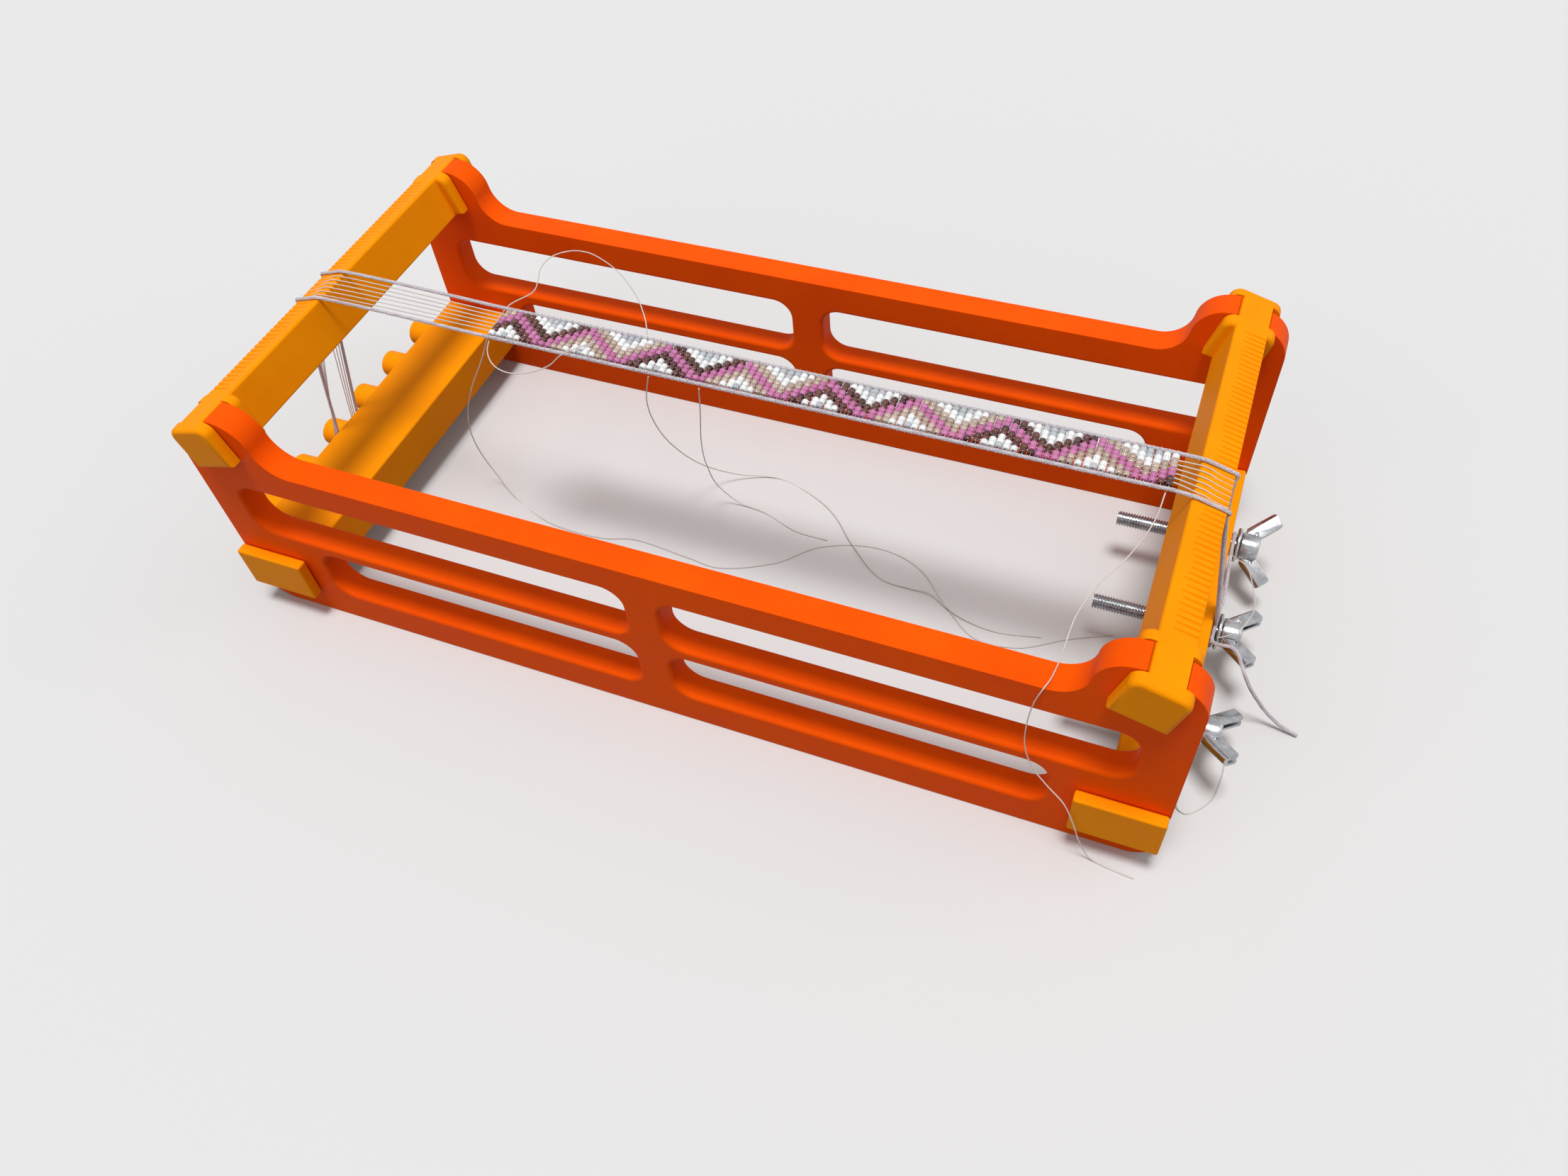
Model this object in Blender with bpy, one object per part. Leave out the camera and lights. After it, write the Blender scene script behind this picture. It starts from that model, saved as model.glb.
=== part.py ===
# Bead loom: two side plates, two tilted comb bars, a peg bar and a tension bar with three
# wing screws, strung with a warp that carries a band of beadwork.
# X runs along the loom, Y from front to back, Z up. All sizes are in metres.

import bpy
import bmesh
import math
from mathutils import Matrix, Vector

# Clearance between pieces that touch on the real loom
GAP = 0.0003

# Side plates
PLATE_LENGTH = 0.245
PLATE_THICK = 0.0071
LOOM_DEPTH = 0.1135
RAIL_TOP = 0.0545
FOOT_RADIUS = 0.0078
EAR_TOP = 0.0690
EAR_FILLET = 0.0081
HORN_RADIUS = 0.0088
HORN_DROP = 0.0023
HORN_END_FLAT = 0.0013

# Slots in the side plates
POST_WIDTH = 0.0092
SLOT_RADIUS = 0.0052
SLOT_ROUND = 0.0012
UPPER_SLOT_END = 0.0100
UPPER_SLOT_LOW = 0.0297
UPPER_SLOT_HIGH = 0.0459
LOWER_SLOT_END = 0.0268
LOWER_SLOT_LOW = 0.0101
LOWER_SLOT_HIGH = 0.0257

# Comb bars, in the tilted frame of the bar
COMB_TILT = math.radians(16.3)
COMB_INSET = 0.0125
COMB_DROP = 0.0128
COMB_WIDTH = 0.00775
COMB_HEIGHT = 0.0122
COMB_EDGE = 0.0008
FLANGE_CROWN = 0.0020
NECK_LIFT = 0.0025
FLANGE_WIDTH = 0.0129
FLANGE_THICK = 0.0031
FLANGE_EDGE = 0.0012

# Comb grooves
GROOVE_PITCH = 0.0016
GROOVE_COUNT = 57
GROOVE_HALF_WIDTH = 0.00055
GROOVE_DEPTH = 0.0007
GROOVE_RUN = 0.0050

# Peg bar and tension bar
LOW_BAR_WIDTH = 0.0202
LOW_BAR_HEIGHT = 0.0130
LOW_BAR_BASE = 0.0082
LOW_BAR_SET_IN = 0.0003
LOW_NECK_STEP = 0.0022
BLOCK_EDGE = 0.0009

# Pegs
PEG_COUNT = 6
PEG_PITCH = 0.0157
PEG_RADIUS = 0.0039
PEG_LENGTH = 0.0088
PEG_EDGE = 0.0006
WARP_PEG = 3

# Wing screws with their washers and trapped nuts
SCREW_COUNT = 3
SCREW_PITCH_Y = 0.0289
SCREW_RADIUS = 0.00195
SCREW_LENGTH = 0.0310
SCREW_TIP = 0.0005
WASHER_RADIUS = 0.0044
WASHER_THICK = 0.0008
NUT_FLATS = 0.0070
NUT_THICK = 0.0032
HUB_RADIUS = 0.0036
HUB_LENGTH = 0.0045
WING_LEAN = math.radians(45)
WING_LIFT = 0.0008
WING_START = 0.0046
WING_LENGTH = 0.0076
WING_DEPTH = 0.0040
WING_CORNER = 0.0008
WING_WIDTH = 0.0026
WING_SHEET = 0.0008
SCREW_TURNS = (math.radians(34), math.radians(-8), math.radians(-19))

# Beadwork
BEAD_COLUMNS = 96
BEAD_ROWS = 7
COLUMN_PITCH = 0.00171
BEAD_LENGTH = 0.00132
BEAD_RADIUS = 0.00081
BAND_CORE = 0.00042
BAND_TO_COMB = 0.00445
BAND_START_Y = -0.0051
BAND_END_Y = -0.0057

# Warp
CORD_RADIUS = 0.0005
THREAD_RADIUS = 0.00015
THREAD_STEP = 0.0006
GATHER_Y = -0.0030
GATHER_DROP = 0.0075
WOUND_RADIUS = 0.0049
LUMP_SIZE = (0.0011, 0.0013, 0.0015)
LUMP_PLACE = (0.0012, -0.0058, -0.0007)
COIL_SPACE = 2 * CORD_RADIUS + 2 * GAP
HELD_SLACK = 0.00012
LOOSE_SLACK = 0.0004
MM = 0.001

# Sizes that follow from the ones above
HALF_LENGTH = PLATE_LENGTH / 2
OUTER_Y = LOOM_DEPTH / 2
INNER_Y = OUTER_Y - PLATE_THICK
BODY_HALF = INNER_Y - GAP
END_Y = OUTER_Y + GAP + FLANGE_THICK
HORN_BASE = EAR_TOP - HORN_DROP - HORN_RADIUS
COMB_X = HALF_LENGTH - COMB_INSET
COMB_BASE = EAR_TOP - COMB_DROP
LOW_BAR_X = HALF_LENGTH - LOW_BAR_SET_IN - LOW_BAR_WIDTH / 2
LOW_BAR_FACE = LOW_BAR_X + LOW_BAR_WIDTH / 2
COMB_LEAN = COMB_HEIGHT * math.sin(COMB_TILT)
COMB_FACE_X = COMB_X + COMB_WIDTH / 2 * math.cos(COMB_TILT) + COMB_LEAN
SCREW_Z = LOW_BAR_BASE + LOW_BAR_HEIGHT / 2
WASHER_X = LOW_BAR_FACE + COIL_SPACE
HUB_X = WASHER_X + WASHER_THICK + GAP
WING_OUT = WING_LENGTH * math.cos(WING_LEAN) + WING_DEPTH * math.sin(WING_LEAN)
WING_TRIM = WING_CORNER * min(math.sin(WING_LEAN), math.cos(WING_LEAN))
WING_TIP_X = HUB_X + WING_LIFT + WING_OUT - WING_TRIM
PEG_TIP_X = LOW_BAR_FACE + PEG_LENGTH
LOOM_SHIFT = (PEG_TIP_X - WING_TIP_X) / 2
BAND_LENGTH = BEAD_COLUMNS * COLUMN_PITCH
BAND_END = COMB_X - COMB_WIDTH / 2 * math.cos(COMB_TILT) + COMB_LEAN - BAND_TO_COMB
BAND_START = BAND_END - BAND_LENGTH
BAND_WIDTH = BEAD_ROWS * BEAD_LENGTH
EDGE_CORD_Y = BAND_WIDTH / 2 + GAP + CORD_RADIUS


# Scene, collections and materials

for old in list(bpy.data.objects):
    bpy.data.objects.remove(old)

LOOM = bpy.data.collections.new("bead_loom")
bpy.context.scene.collection.children.link(LOOM)

ROOT = bpy.data.objects.new("loom_centre", None)
ROOT.location = (LOOM_SHIFT, 0, 0)
LOOM.objects.link(ROOT)


def material(name, colour, roughness, metallic=0.0):
    made = bpy.data.materials.new(name)
    made.use_nodes = True
    shader = made.node_tree.nodes["Principled BSDF"]
    shader.inputs["Base Color"].default_value = (*colour, 1)
    shader.inputs["Roughness"].default_value = roughness
    shader.inputs["Metallic"].default_value = metallic
    return made


ORANGE = material("orange_red_plastic", (0.80, 0.06, 0.01), 0.45)
YELLOW = material("yellow_plastic", (0.90, 0.35, 0.01), 0.45)
STEEL = material("zinc_steel", (0.62, 0.63, 0.64), 0.3, 1.0)
BEADS = material("glass_beads", (0.62, 0.45, 0.50), 0.25)
CORD = material("grey_cord", (0.60, 0.57, 0.60), 0.8)
THREAD = material("clear_thread", (0.75, 0.72, 0.68), 0.4)


def place(obj, parent=None):
    """Puts a finished object in the loom's collection and under the loom's centre."""
    if obj.name not in LOOM.objects:
        LOOM.objects.link(obj)
    obj.parent = parent or ROOT
    return obj


def new_object(name, bm, mat):
    """Makes an object from a bmesh and leaves it free of parents."""
    bmesh.ops.recalc_face_normals(bm, faces=bm.faces)
    mesh = bpy.data.meshes.new(name)
    bm.to_mesh(mesh)
    bm.free()
    mesh.materials.append(mat)
    obj = bpy.data.objects.new(name, mesh)
    LOOM.objects.link(obj)
    return obj


def bake(obj):
    """Applies an object's modifiers to its mesh."""
    bpy.context.view_layer.update()
    seen = obj.evaluated_get(bpy.context.evaluated_depsgraph_get())
    mesh = bpy.data.meshes.new_from_object(seen)
    mesh.name = obj.name
    obj.modifiers.clear()
    obj.data = mesh


def combine(obj, tools, operation):
    """Cuts or joins tools into an object with the exact solver and removes them."""
    for tool in tools:
        boolean = obj.modifiers.new(operation.lower(), "BOOLEAN")
        boolean.operation = operation
        boolean.solver = "EXACT"
        boolean.object = tool
        bake(obj)
        bpy.data.objects.remove(tool)


def smooth(obj, angle=40):
    obj.data.shade_smooth()
    obj.data.set_sharp_from_angle(angle=math.radians(angle))


# Outlines

def arc(centre, radius, start, end, steps):
    """Points on an arc in the XZ plane, angles in degrees from +X towards +Z."""
    points = []
    for step in range(steps + 1):
        angle = math.radians(start + (end - start) * step / steps)
        points.append((centre[0] + radius * math.cos(angle), centre[1] + radius * math.sin(angle)))
    return points


def prism(name, outline, y_low, y_high, mat):
    """Extrudes an outline in the XZ plane between two depths."""
    bm = bmesh.new()
    face = bm.faces.new([bm.verts.new((x, y_low, z)) for x, z in outline])
    grown = bmesh.ops.extrude_face_region(bm, geom=[face])
    tops = [item for item in grown["geom"] if isinstance(item, bmesh.types.BMVert)]
    bmesh.ops.translate(bm, verts=tops, vec=(0, y_high - y_low, 0))
    return new_object(name, bm, mat)


def box(name, low, high, mat, edge=0.0):
    """A block between two corners, with its edges rounded by edge."""
    size = Vector(high) - Vector(low)
    middle = (Vector(high) + Vector(low)) / 2
    bm = bmesh.new()
    bmesh.ops.create_cube(bm, size=1)
    bmesh.ops.scale(bm, vec=size, verts=bm.verts)
    bmesh.ops.translate(bm, vec=middle, verts=bm.verts)
    if edge:
        bmesh.ops.bevel(bm, geom=bm.edges[:], offset=edge, segments=2, profile=0.5,
                        affect="EDGES", material=-1)
    return new_object(name, bm, mat)


def rod(name, radius, x_low, x_high, mat, sides=20, y=0.0, z=0.0):
    """A cylinder along X."""
    bm = bmesh.new()
    turn = Matrix.Translation(((x_low + x_high) / 2, y, z)) @ Matrix.Rotation(math.pi / 2, 4, "Y")
    bmesh.ops.create_cone(bm, cap_ends=True, segments=sides, radius1=radius, radius2=radius,
                          depth=x_high - x_low, matrix=turn)
    return new_object(name, bm, mat)


# Tilted frame of the right-hand comb bar

def comb_point(side, across, up):
    """World X and Z of a point given across (outwards) and up in a comb bar's tilted frame."""
    x = COMB_X + across * math.cos(COMB_TILT) + up * math.sin(COMB_TILT)
    z = COMB_BASE - across * math.sin(COMB_TILT) + up * math.cos(COMB_TILT)
    return side * x, z


def along_wall(across, height):
    """The point of a notch wall, across from the bar's middle, that lies at a world height."""
    up = (height - COMB_BASE + across * math.sin(COMB_TILT)) / math.cos(COMB_TILT)
    return comb_point(1, across, up)


# Side plates

def half_plate_outline():
    """Right-hand half of a side plate's outline, from the foot round to the rail."""
    points = [(0, 0)]
    points += arc((HALF_LENGTH - FOOT_RADIUS, FOOT_RADIUS), FOOT_RADIUS, -90, 0, 6)
    notch_low = LOW_BAR_BASE + LOW_NECK_STEP - GAP
    notch_high = LOW_BAR_BASE + LOW_BAR_HEIGHT - LOW_NECK_STEP + GAP
    notch_end = LOW_BAR_X - LOW_BAR_WIDTH / 2 + LOW_NECK_STEP - GAP
    points += [(HALF_LENGTH, notch_low), (notch_end, notch_low)]
    points += [(notch_end, notch_high), (HALF_LENGTH, notch_high)]
    horn_x = HALF_LENGTH - HORN_RADIUS
    wall = COMB_WIDTH / 2 + GAP
    outer_wall_x = along_wall(wall, HORN_BASE + HORN_RADIUS)[0]
    reach = math.degrees(math.acos(min(1, max(-1, (outer_wall_x - horn_x) / HORN_RADIUS))))
    horn = arc((horn_x, HORN_BASE), HORN_RADIUS, 0, reach, 6)
    points += horn
    points.append(along_wall(wall, horn[-1][1]))
    points.append(comb_point(1, wall, NECK_LIFT - GAP))
    points.append(comb_point(1, -wall, NECK_LIFT - GAP))
    inner_top = along_wall(-wall, EAR_TOP)
    points.append(inner_top)
    rise = EAR_TOP - RAIL_TOP
    bend = math.degrees(math.acos(1 - rise / (2 * EAR_FILLET)))
    top_x = inner_top[0] - HORN_END_FLAT
    sway = 2 * EAR_FILLET * math.sin(math.radians(bend))
    points += arc((top_x, EAR_TOP - EAR_FILLET), EAR_FILLET, 90, 90 + bend, 7)
    foot = (top_x - sway, RAIL_TOP + EAR_FILLET)
    points += arc(foot, EAR_FILLET, -90 + bend, -90, 7)[1:]
    return points


def slot_ring(bm, middle, half_length, half_height, radius, depth):
    """One ring of a slot's outline at a depth, with rounded corners."""
    corners = ((1, 1, 0), (-1, 1, 90), (-1, -1, 180), (1, -1, 270))
    ring = []
    for side_x, side_z, start in corners:
        centre = (middle[0] + side_x * (half_length - radius),
                  middle[1] + side_z * (half_height - radius))
        for x, z in arc(centre, radius, start, start + 90, 3):
            ring.append(bm.verts.new((x, depth, z)))
    return ring


def slot_cutter(middle, half_length, half_height):
    """A slot through a plate that flares out in a rounded edge at both faces."""
    bm = bmesh.new()
    steps = 2
    flare = []
    for step in range(steps + 1):
        angle = math.pi / 2 * step / steps
        flare.append((SLOT_ROUND * (1 - math.sin(angle)), SLOT_ROUND * (1 - math.cos(angle))))
    depths = [(INNER_Y - GAP, SLOT_ROUND)]
    depths += [(INNER_Y + back, grow) for grow, back in flare]
    depths += [(OUTER_Y - back, grow) for grow, back in reversed(flare)]
    depths.append((OUTER_Y + GAP, SLOT_ROUND))
    rings = []
    for depth, grow in depths:
        rings.append(slot_ring(bm, middle, half_length + grow, half_height + grow,
                               SLOT_RADIUS + grow, depth))
    for near, far in zip(rings, rings[1:]):
        for index in range(len(near)):
            following = (index + 1) % len(near)
            bm.faces.new((near[index], near[following], far[following], far[index]))
    bm.faces.new(rings[0])
    bm.faces.new(rings[-1])
    return new_object("slot_cutter", bm, ORANGE)


def side_plate(name, side):
    """A plate on the front (side -1) or the rear (side +1)."""
    half = half_plate_outline()
    mirrored = [(-x, z) for x, z in reversed(half[1:])]
    plate = prism(name, half[1:] + mirrored, INNER_Y, OUTER_Y, ORANGE)
    cutters = []
    for end, low, high in ((UPPER_SLOT_END, UPPER_SLOT_LOW, UPPER_SLOT_HIGH),
                           (LOWER_SLOT_END, LOWER_SLOT_LOW, LOWER_SLOT_HIGH)):
        near = POST_WIDTH / 2
        far = HALF_LENGTH - end
        for way in (-1, 1):
            middle = (way * (near + far) / 2, (low + high) / 2)
            cutters.append(slot_cutter(middle, (far - near) / 2, (high - low) / 2))
    combine(plate, cutters, "DIFFERENCE")
    plate.rotation_euler = (0, 0, 0 if side > 0 else math.pi)
    smooth(plate)
    return place(plate)


side_plate("rear_plate", 1)
side_plate("front_plate", -1)


# Comb bars

def bar_outline(half_width, low, high):
    """A section with a flat top whose inner edge is rounded."""
    edge = arc((-half_width + COMB_EDGE, high - COMB_EDGE), COMB_EDGE, 90, 180, 2)
    return [(-half_width, low), (half_width, low), (half_width, high)] + edge


def rounded_flange(name, y_low, y_high, rim_y):
    """A D-shaped flange whose rim is rounded on one face."""
    half_width = FLANGE_WIDTH / 2
    radius = (half_width ** 2 + FLANGE_CROWN ** 2) / (2 * FLANGE_CROWN)
    swing = math.degrees(math.asin(half_width / radius))
    crown = COMB_HEIGHT + GAP
    outline = [(-half_width, 0), (half_width, 0)]
    outline += arc((0, crown - radius), radius, 90 - swing, 90 + swing, 6)
    flange = prism(name, outline, y_low, y_high, YELLOW)
    bm = bmesh.new()
    bm.from_mesh(flange.data)
    rim = [edge for edge in bm.edges if all(abs(v.co.y - rim_y) < 1e-6 for v in edge.verts)]
    bmesh.ops.bevel(bm, geom=rim, offset=FLANGE_EDGE, segments=2, profile=0.5, affect="EDGES",
                    material=-1)
    bm.to_mesh(flange.data)
    bm.free()
    return flange


def groove_cutter():
    """A row of V-shaped grooves that deepen towards the bar's outer top corner."""
    bm = bmesh.new()
    corner = COMB_WIDTH / 2
    start = corner - GROOVE_RUN
    slope = GROOVE_DEPTH / GROOVE_RUN
    over = 0.001
    top = COMB_HEIGHT
    for index in range(GROOVE_COUNT):
        y = (index - (GROOVE_COUNT - 1) / 2) * GROOVE_PITCH
        spread = GROOVE_HALF_WIDTH / GROOVE_DEPTH
        ends = []
        for across in (start, corner + over):
            floor = top - slope * (across - start)
            half = spread * (top + over - floor)
            ends.append([bm.verts.new((across, y, floor)),
                         bm.verts.new((across, y + half, top + over)),
                         bm.verts.new((across, y - half, top + over))])
        near, far = ends
        bm.faces.new(near)
        bm.faces.new(far)
        for a, b in ((0, 1), (1, 2), (2, 0)):
            bm.faces.new((near[a], near[b], far[b], far[a]))
    return new_object("groove_cutter", bm, YELLOW)


def comb_bar_mesh():
    """The bar in its own frame: X outwards across it, Y along it, Z up."""
    width = COMB_WIDTH / 2
    body = prism("comb_bar", bar_outline(width, 0, COMB_HEIGHT),
                 -BODY_HALF + FLANGE_THICK / 2, BODY_HALF - FLANGE_THICK / 2, YELLOW)
    combine(body, [groove_cutter()], "DIFFERENCE")
    neck_step = 0.0001
    neck = prism("neck", bar_outline(width - neck_step, NECK_LIFT, COMB_HEIGHT - neck_step),
                 -END_Y + FLANGE_THICK / 2, END_Y - FLANGE_THICK / 2, YELLOW)
    tools = [neck]
    for side in (-1, 1):
        inner = sorted((side * BODY_HALF, side * (BODY_HALF - FLANGE_THICK)))
        outer = sorted((side * END_Y, side * (OUTER_Y + GAP)))
        tools.append(rounded_flange("inner_flange", *inner, side * (BODY_HALF - FLANGE_THICK)))
        tools.append(rounded_flange("outer_flange", *outer, side * END_Y))
    combine(body, tools, "UNION")
    smooth(body)
    mesh = body.data
    bpy.data.objects.remove(body)
    return mesh


def comb_bar(name, side, mesh):
    bar = bpy.data.objects.new(name, mesh)
    bar.location = (side * COMB_X, 0, COMB_BASE)
    bar.rotation_euler = (0, COMB_TILT, 0 if side > 0 else math.pi)
    return place(bar)


COMB_MESH = comb_bar_mesh()
comb_bar("left_comb_bar", -1, COMB_MESH)
comb_bar("right_comb_bar", 1, COMB_MESH)


# Peg bar and tension bar

def low_bar(name):
    """A flat bar in its own frame: middle of its base at the origin, outer side at +X."""
    half = LOW_BAR_WIDTH / 2
    body = box(name, (-half, -BODY_HALF, 0), (half, BODY_HALF, LOW_BAR_HEIGHT), YELLOW,
               BLOCK_EDGE)
    neck = box("neck", (-half + LOW_NECK_STEP, -END_Y + FLANGE_THICK / 2, LOW_NECK_STEP),
               (half - LOW_NECK_STEP, END_Y - FLANGE_THICK / 2, LOW_BAR_HEIGHT - LOW_NECK_STEP),
               YELLOW)
    tools = [neck]
    for side in (-1, 1):
        low, high = sorted((side * END_Y, side * (OUTER_Y + GAP)))
        tools.append(box("block", (-half, low, 0), (half, high, LOW_BAR_HEIGHT), YELLOW,
                         BLOCK_EDGE))
    combine(body, tools, "UNION")
    return body


def peg_y(index):
    """Depth of a peg, counted from the rear."""
    return ((PEG_COUNT - 1) / 2 - index) * PEG_PITCH


def peg(y):
    """A round peg with its far edge softened, on the outer side of the peg bar."""
    root = LOW_BAR_WIDTH / 2 - PEG_LENGTH / 4
    tip = LOW_BAR_WIDTH / 2 + PEG_LENGTH
    made = rod("peg", PEG_RADIUS, root, tip, YELLOW, sides=16, y=y, z=LOW_BAR_HEIGHT / 2)
    bm = bmesh.new()
    bm.from_mesh(made.data)
    rim = [edge for edge in bm.edges if all(abs(v.co.x - tip) < 1e-6 for v in edge.verts)]
    bmesh.ops.bevel(bm, geom=rim, offset=PEG_EDGE, segments=1, profile=0.5, affect="EDGES",
                    material=-1)
    bm.to_mesh(made.data)
    bm.free()
    return made


PEG_BAR = low_bar("peg_bar")
combine(PEG_BAR, [peg(-peg_y(index)) for index in range(PEG_COUNT)], "UNION")
PEG_BAR.location = (-LOW_BAR_X, 0, LOW_BAR_BASE)
PEG_BAR.rotation_euler = (0, 0, math.pi)
smooth(PEG_BAR)
place(PEG_BAR)


def screw_y(index):
    """Depth of a wing screw, counted from the rear."""
    return ((SCREW_COUNT - 1) / 2 - index) * SCREW_PITCH_Y


def hexagon(name, flats, x_low, x_high, y, z, mat):
    """A hexagonal prism along X with two corners up and down."""
    made = rod(name, flats / math.sqrt(3), x_low, x_high, mat, sides=6)
    made.data.transform(Matrix.Translation((0, y, z)) @ Matrix.Rotation(math.pi / 6, 4, "X"))
    return made


TENSION_BAR = low_bar("tension_bar")
HOLES = []
for number in range(SCREW_COUNT):
    reach = LOW_BAR_WIDTH / 2
    HOLES.append(rod("hole", SCREW_RADIUS + GAP, -reach - GAP, reach + GAP, YELLOW,
                     y=screw_y(number), z=LOW_BAR_HEIGHT / 2))
    HOLES.append(hexagon("pocket", NUT_FLATS + 2 * GAP, -reach - GAP, -reach + NUT_THICK + GAP,
                         screw_y(number), LOW_BAR_HEIGHT / 2, YELLOW))
combine(TENSION_BAR, HOLES, "DIFFERENCE")
TENSION_BAR.location = (LOW_BAR_X, 0, LOW_BAR_BASE)
smooth(TENSION_BAR)
place(TENSION_BAR)


# Trapped nuts and washers

def bored(name, solid, radius, x_low, x_high):
    combine(solid, [rod("bore", radius, x_low - GAP, x_high + GAP, STEEL)], "DIFFERENCE")
    solid.name = name
    smooth(solid)
    return place(solid)


for number in range(SCREW_COUNT):
    nut = hexagon("nut", NUT_FLATS, 0, NUT_THICK, 0, 0, STEEL)
    bored(f"nut_{number + 1}", nut, SCREW_RADIUS + GAP / 2, 0, NUT_THICK)
    nut.location = (LOW_BAR_X - LOW_BAR_WIDTH / 2, screw_y(number), SCREW_Z)
    washer = rod("washer", WASHER_RADIUS, 0, WASHER_THICK, STEEL)
    bored(f"washer_{number + 1}", washer, SCREW_RADIUS + GAP, 0, WASHER_THICK)
    washer.location = (WASHER_X, screw_y(number), SCREW_Z)


# Wing screws, pressed from sheet: a hub with two hollow wings

def wing_point(along, deep):
    """A point of the wing's plane: along it from its start, and deep from its near edge."""
    lean = WING_LEAN
    return (WING_LIFT + along * math.cos(lean) + deep * math.sin(lean),
            WING_START + along * math.sin(lean) - deep * math.cos(lean))


def wing_slab(name, outline, side, width):
    bm = bmesh.new()
    face = bm.faces.new([bm.verts.new((x, side * y, -width / 2)) for x, y in outline])
    grown = bmesh.ops.extrude_face_region(bm, geom=[face])
    tops = [item for item in grown["geom"] if isinstance(item, bmesh.types.BMVert)]
    bmesh.ops.translate(bm, verts=tops, vec=(0, 0, width))
    return new_object(name, bm, STEEL)


def wing(side):
    """One wing: a folded channel of sheet that leans outwards, closed towards the bar."""
    far = WING_LENGTH
    deep = WING_DEPTH
    corner = WING_CORNER
    root = (HUB_LENGTH / 8, HUB_RADIUS * 0.7)
    outline = [root, wing_point(0, 0), wing_point(far - corner, 0), wing_point(far, corner),
               wing_point(far, deep - corner), wing_point(far - corner, deep),
               wing_point(0, deep)]
    hollow = [wing_point(2 * WING_SHEET, WING_SHEET), wing_point(far + GAP, WING_SHEET),
              wing_point(far + GAP, deep + GAP), wing_point(2 * WING_SHEET, deep + GAP)]
    solid = wing_slab("wing", outline, side, WING_WIDTH)
    combine(solid, [wing_slab("wing_hollow", hollow, side, WING_WIDTH - 2 * WING_SHEET)],
            "DIFFERENCE")
    return solid


def wing_screw_mesh():
    """The screw in its own frame: head outwards along +X from the underside of its hub."""
    shank = rod("wing_screw", SCREW_RADIUS, -SCREW_LENGTH, HUB_LENGTH / 2, STEEL)
    bm = bmesh.new()
    bm.from_mesh(shank.data)
    rim = [edge for edge in bm.edges
           if all(abs(v.co.x + SCREW_LENGTH) < 1e-6 for v in edge.verts)]
    bmesh.ops.bevel(bm, geom=rim, offset=SCREW_TIP, segments=1, profile=0.5, affect="EDGES",
                    material=-1)
    bm.to_mesh(shank.data)
    bm.free()
    hub = rod("hub", HUB_RADIUS, 0, HUB_LENGTH, STEEL)
    bm = bmesh.new()
    bm.from_mesh(hub.data)
    rim = [edge for edge in bm.edges
           if all(abs(v.co.x - HUB_LENGTH) < 1e-6 for v in edge.verts)]
    bmesh.ops.bevel(bm, geom=rim, offset=HUB_RADIUS / 4, segments=2, profile=0.5, affect="EDGES",
                    material=-1)
    bm.to_mesh(hub.data)
    bm.free()
    combine(shank, [hub, wing(1), wing(-1)], "UNION")
    smooth(shank)
    mesh = shank.data
    bpy.data.objects.remove(shank)
    return mesh


SCREW_MESH = wing_screw_mesh()
for number, turn in enumerate(SCREW_TURNS[:SCREW_COUNT]):
    screw = bpy.data.objects.new(f"wing_screw_{number + 1}", SCREW_MESH)
    screw.location = (HUB_X, screw_y(number), SCREW_Z)
    screw.rotation_euler = (turn, 0, 0)
    place(screw)


# Beadwork band: columns of beads across the warp, modelled as one ribbed solid

BAND_Z = comb_point(1, -COMB_WIDTH / 2, COMB_HEIGHT)[1] + GAP + CORD_RADIUS


def band_outline():
    top = []
    for column in range(BEAD_COLUMNS):
        middle = (column + 0.5) * COLUMN_PITCH
        top.append((middle - COLUMN_PITCH / 2, BAND_CORE))
        for angle in (122, 58):
            top.append((middle + BEAD_RADIUS * math.cos(math.radians(angle)),
                        BEAD_RADIUS * math.sin(math.radians(angle))))
    top.append((BAND_LENGTH, BAND_CORE))
    return top + [(x, -z) for x, z in reversed(top)]


BAND_SLOPE = math.atan2(BAND_END_Y - BAND_START_Y, BAND_LENGTH)
BAND = prism("bead_band", band_outline(), -BAND_WIDTH / 2, BAND_WIDTH / 2, BEADS)
BAND.location = (BAND_START, BAND_START_Y, BAND_Z)
BAND.rotation_euler = (0, 0, BAND_SLOPE)
place(BAND)


# Cords and threads

def spline_points(route, per_span):
    """A smooth curve through a route's points."""
    path = [Vector(point) for point in route]
    before = path[0] * 2 - path[1]
    after = path[-1] * 2 - path[-2]
    path = [before] + path + [after]
    points = []
    for index in range(1, len(path) - 2):
        a, b, c, d = path[index - 1:index + 3]
        ends = [0.0]
        for near, far in ((a, b), (b, c), (c, d)):
            ends.append(ends[-1] + max((far - near).length, 1e-9) ** 0.5)
        for step in range(per_span):
            t = ends[1] + (ends[2] - ends[1]) * step / per_span
            ab = a.lerp(b, (t - ends[0]) / (ends[1] - ends[0]))
            bc = b.lerp(c, (t - ends[1]) / (ends[2] - ends[1]))
            cd = c.lerp(d, (t - ends[2]) / (ends[3] - ends[2]))
            abc = ab.lerp(bc, (t - ends[0]) / (ends[2] - ends[0]))
            bcd = bc.lerp(cd, (t - ends[1]) / (ends[3] - ends[1]))
            points.append(abc.lerp(bcd, (t - ends[1]) / (ends[2] - ends[1])))
    points.append(path[-2])
    return points


def thinned(points, slack):
    """Leaves out the points that lie within slack of a straight run between those kept."""
    start, end = points[0], points[-1]
    along = (end - start).normalized()
    worst = 0
    far = slack
    for index in range(1, len(points) - 1):
        arm = points[index] - start
        off = (arm - along * arm.dot(along)).length
        if off > far:
            worst = index
            far = off
    if not worst:
        return [start, end]
    return thinned(points[:worst + 1], slack)[:-1] + thinned(points[worst:], slack)


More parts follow.
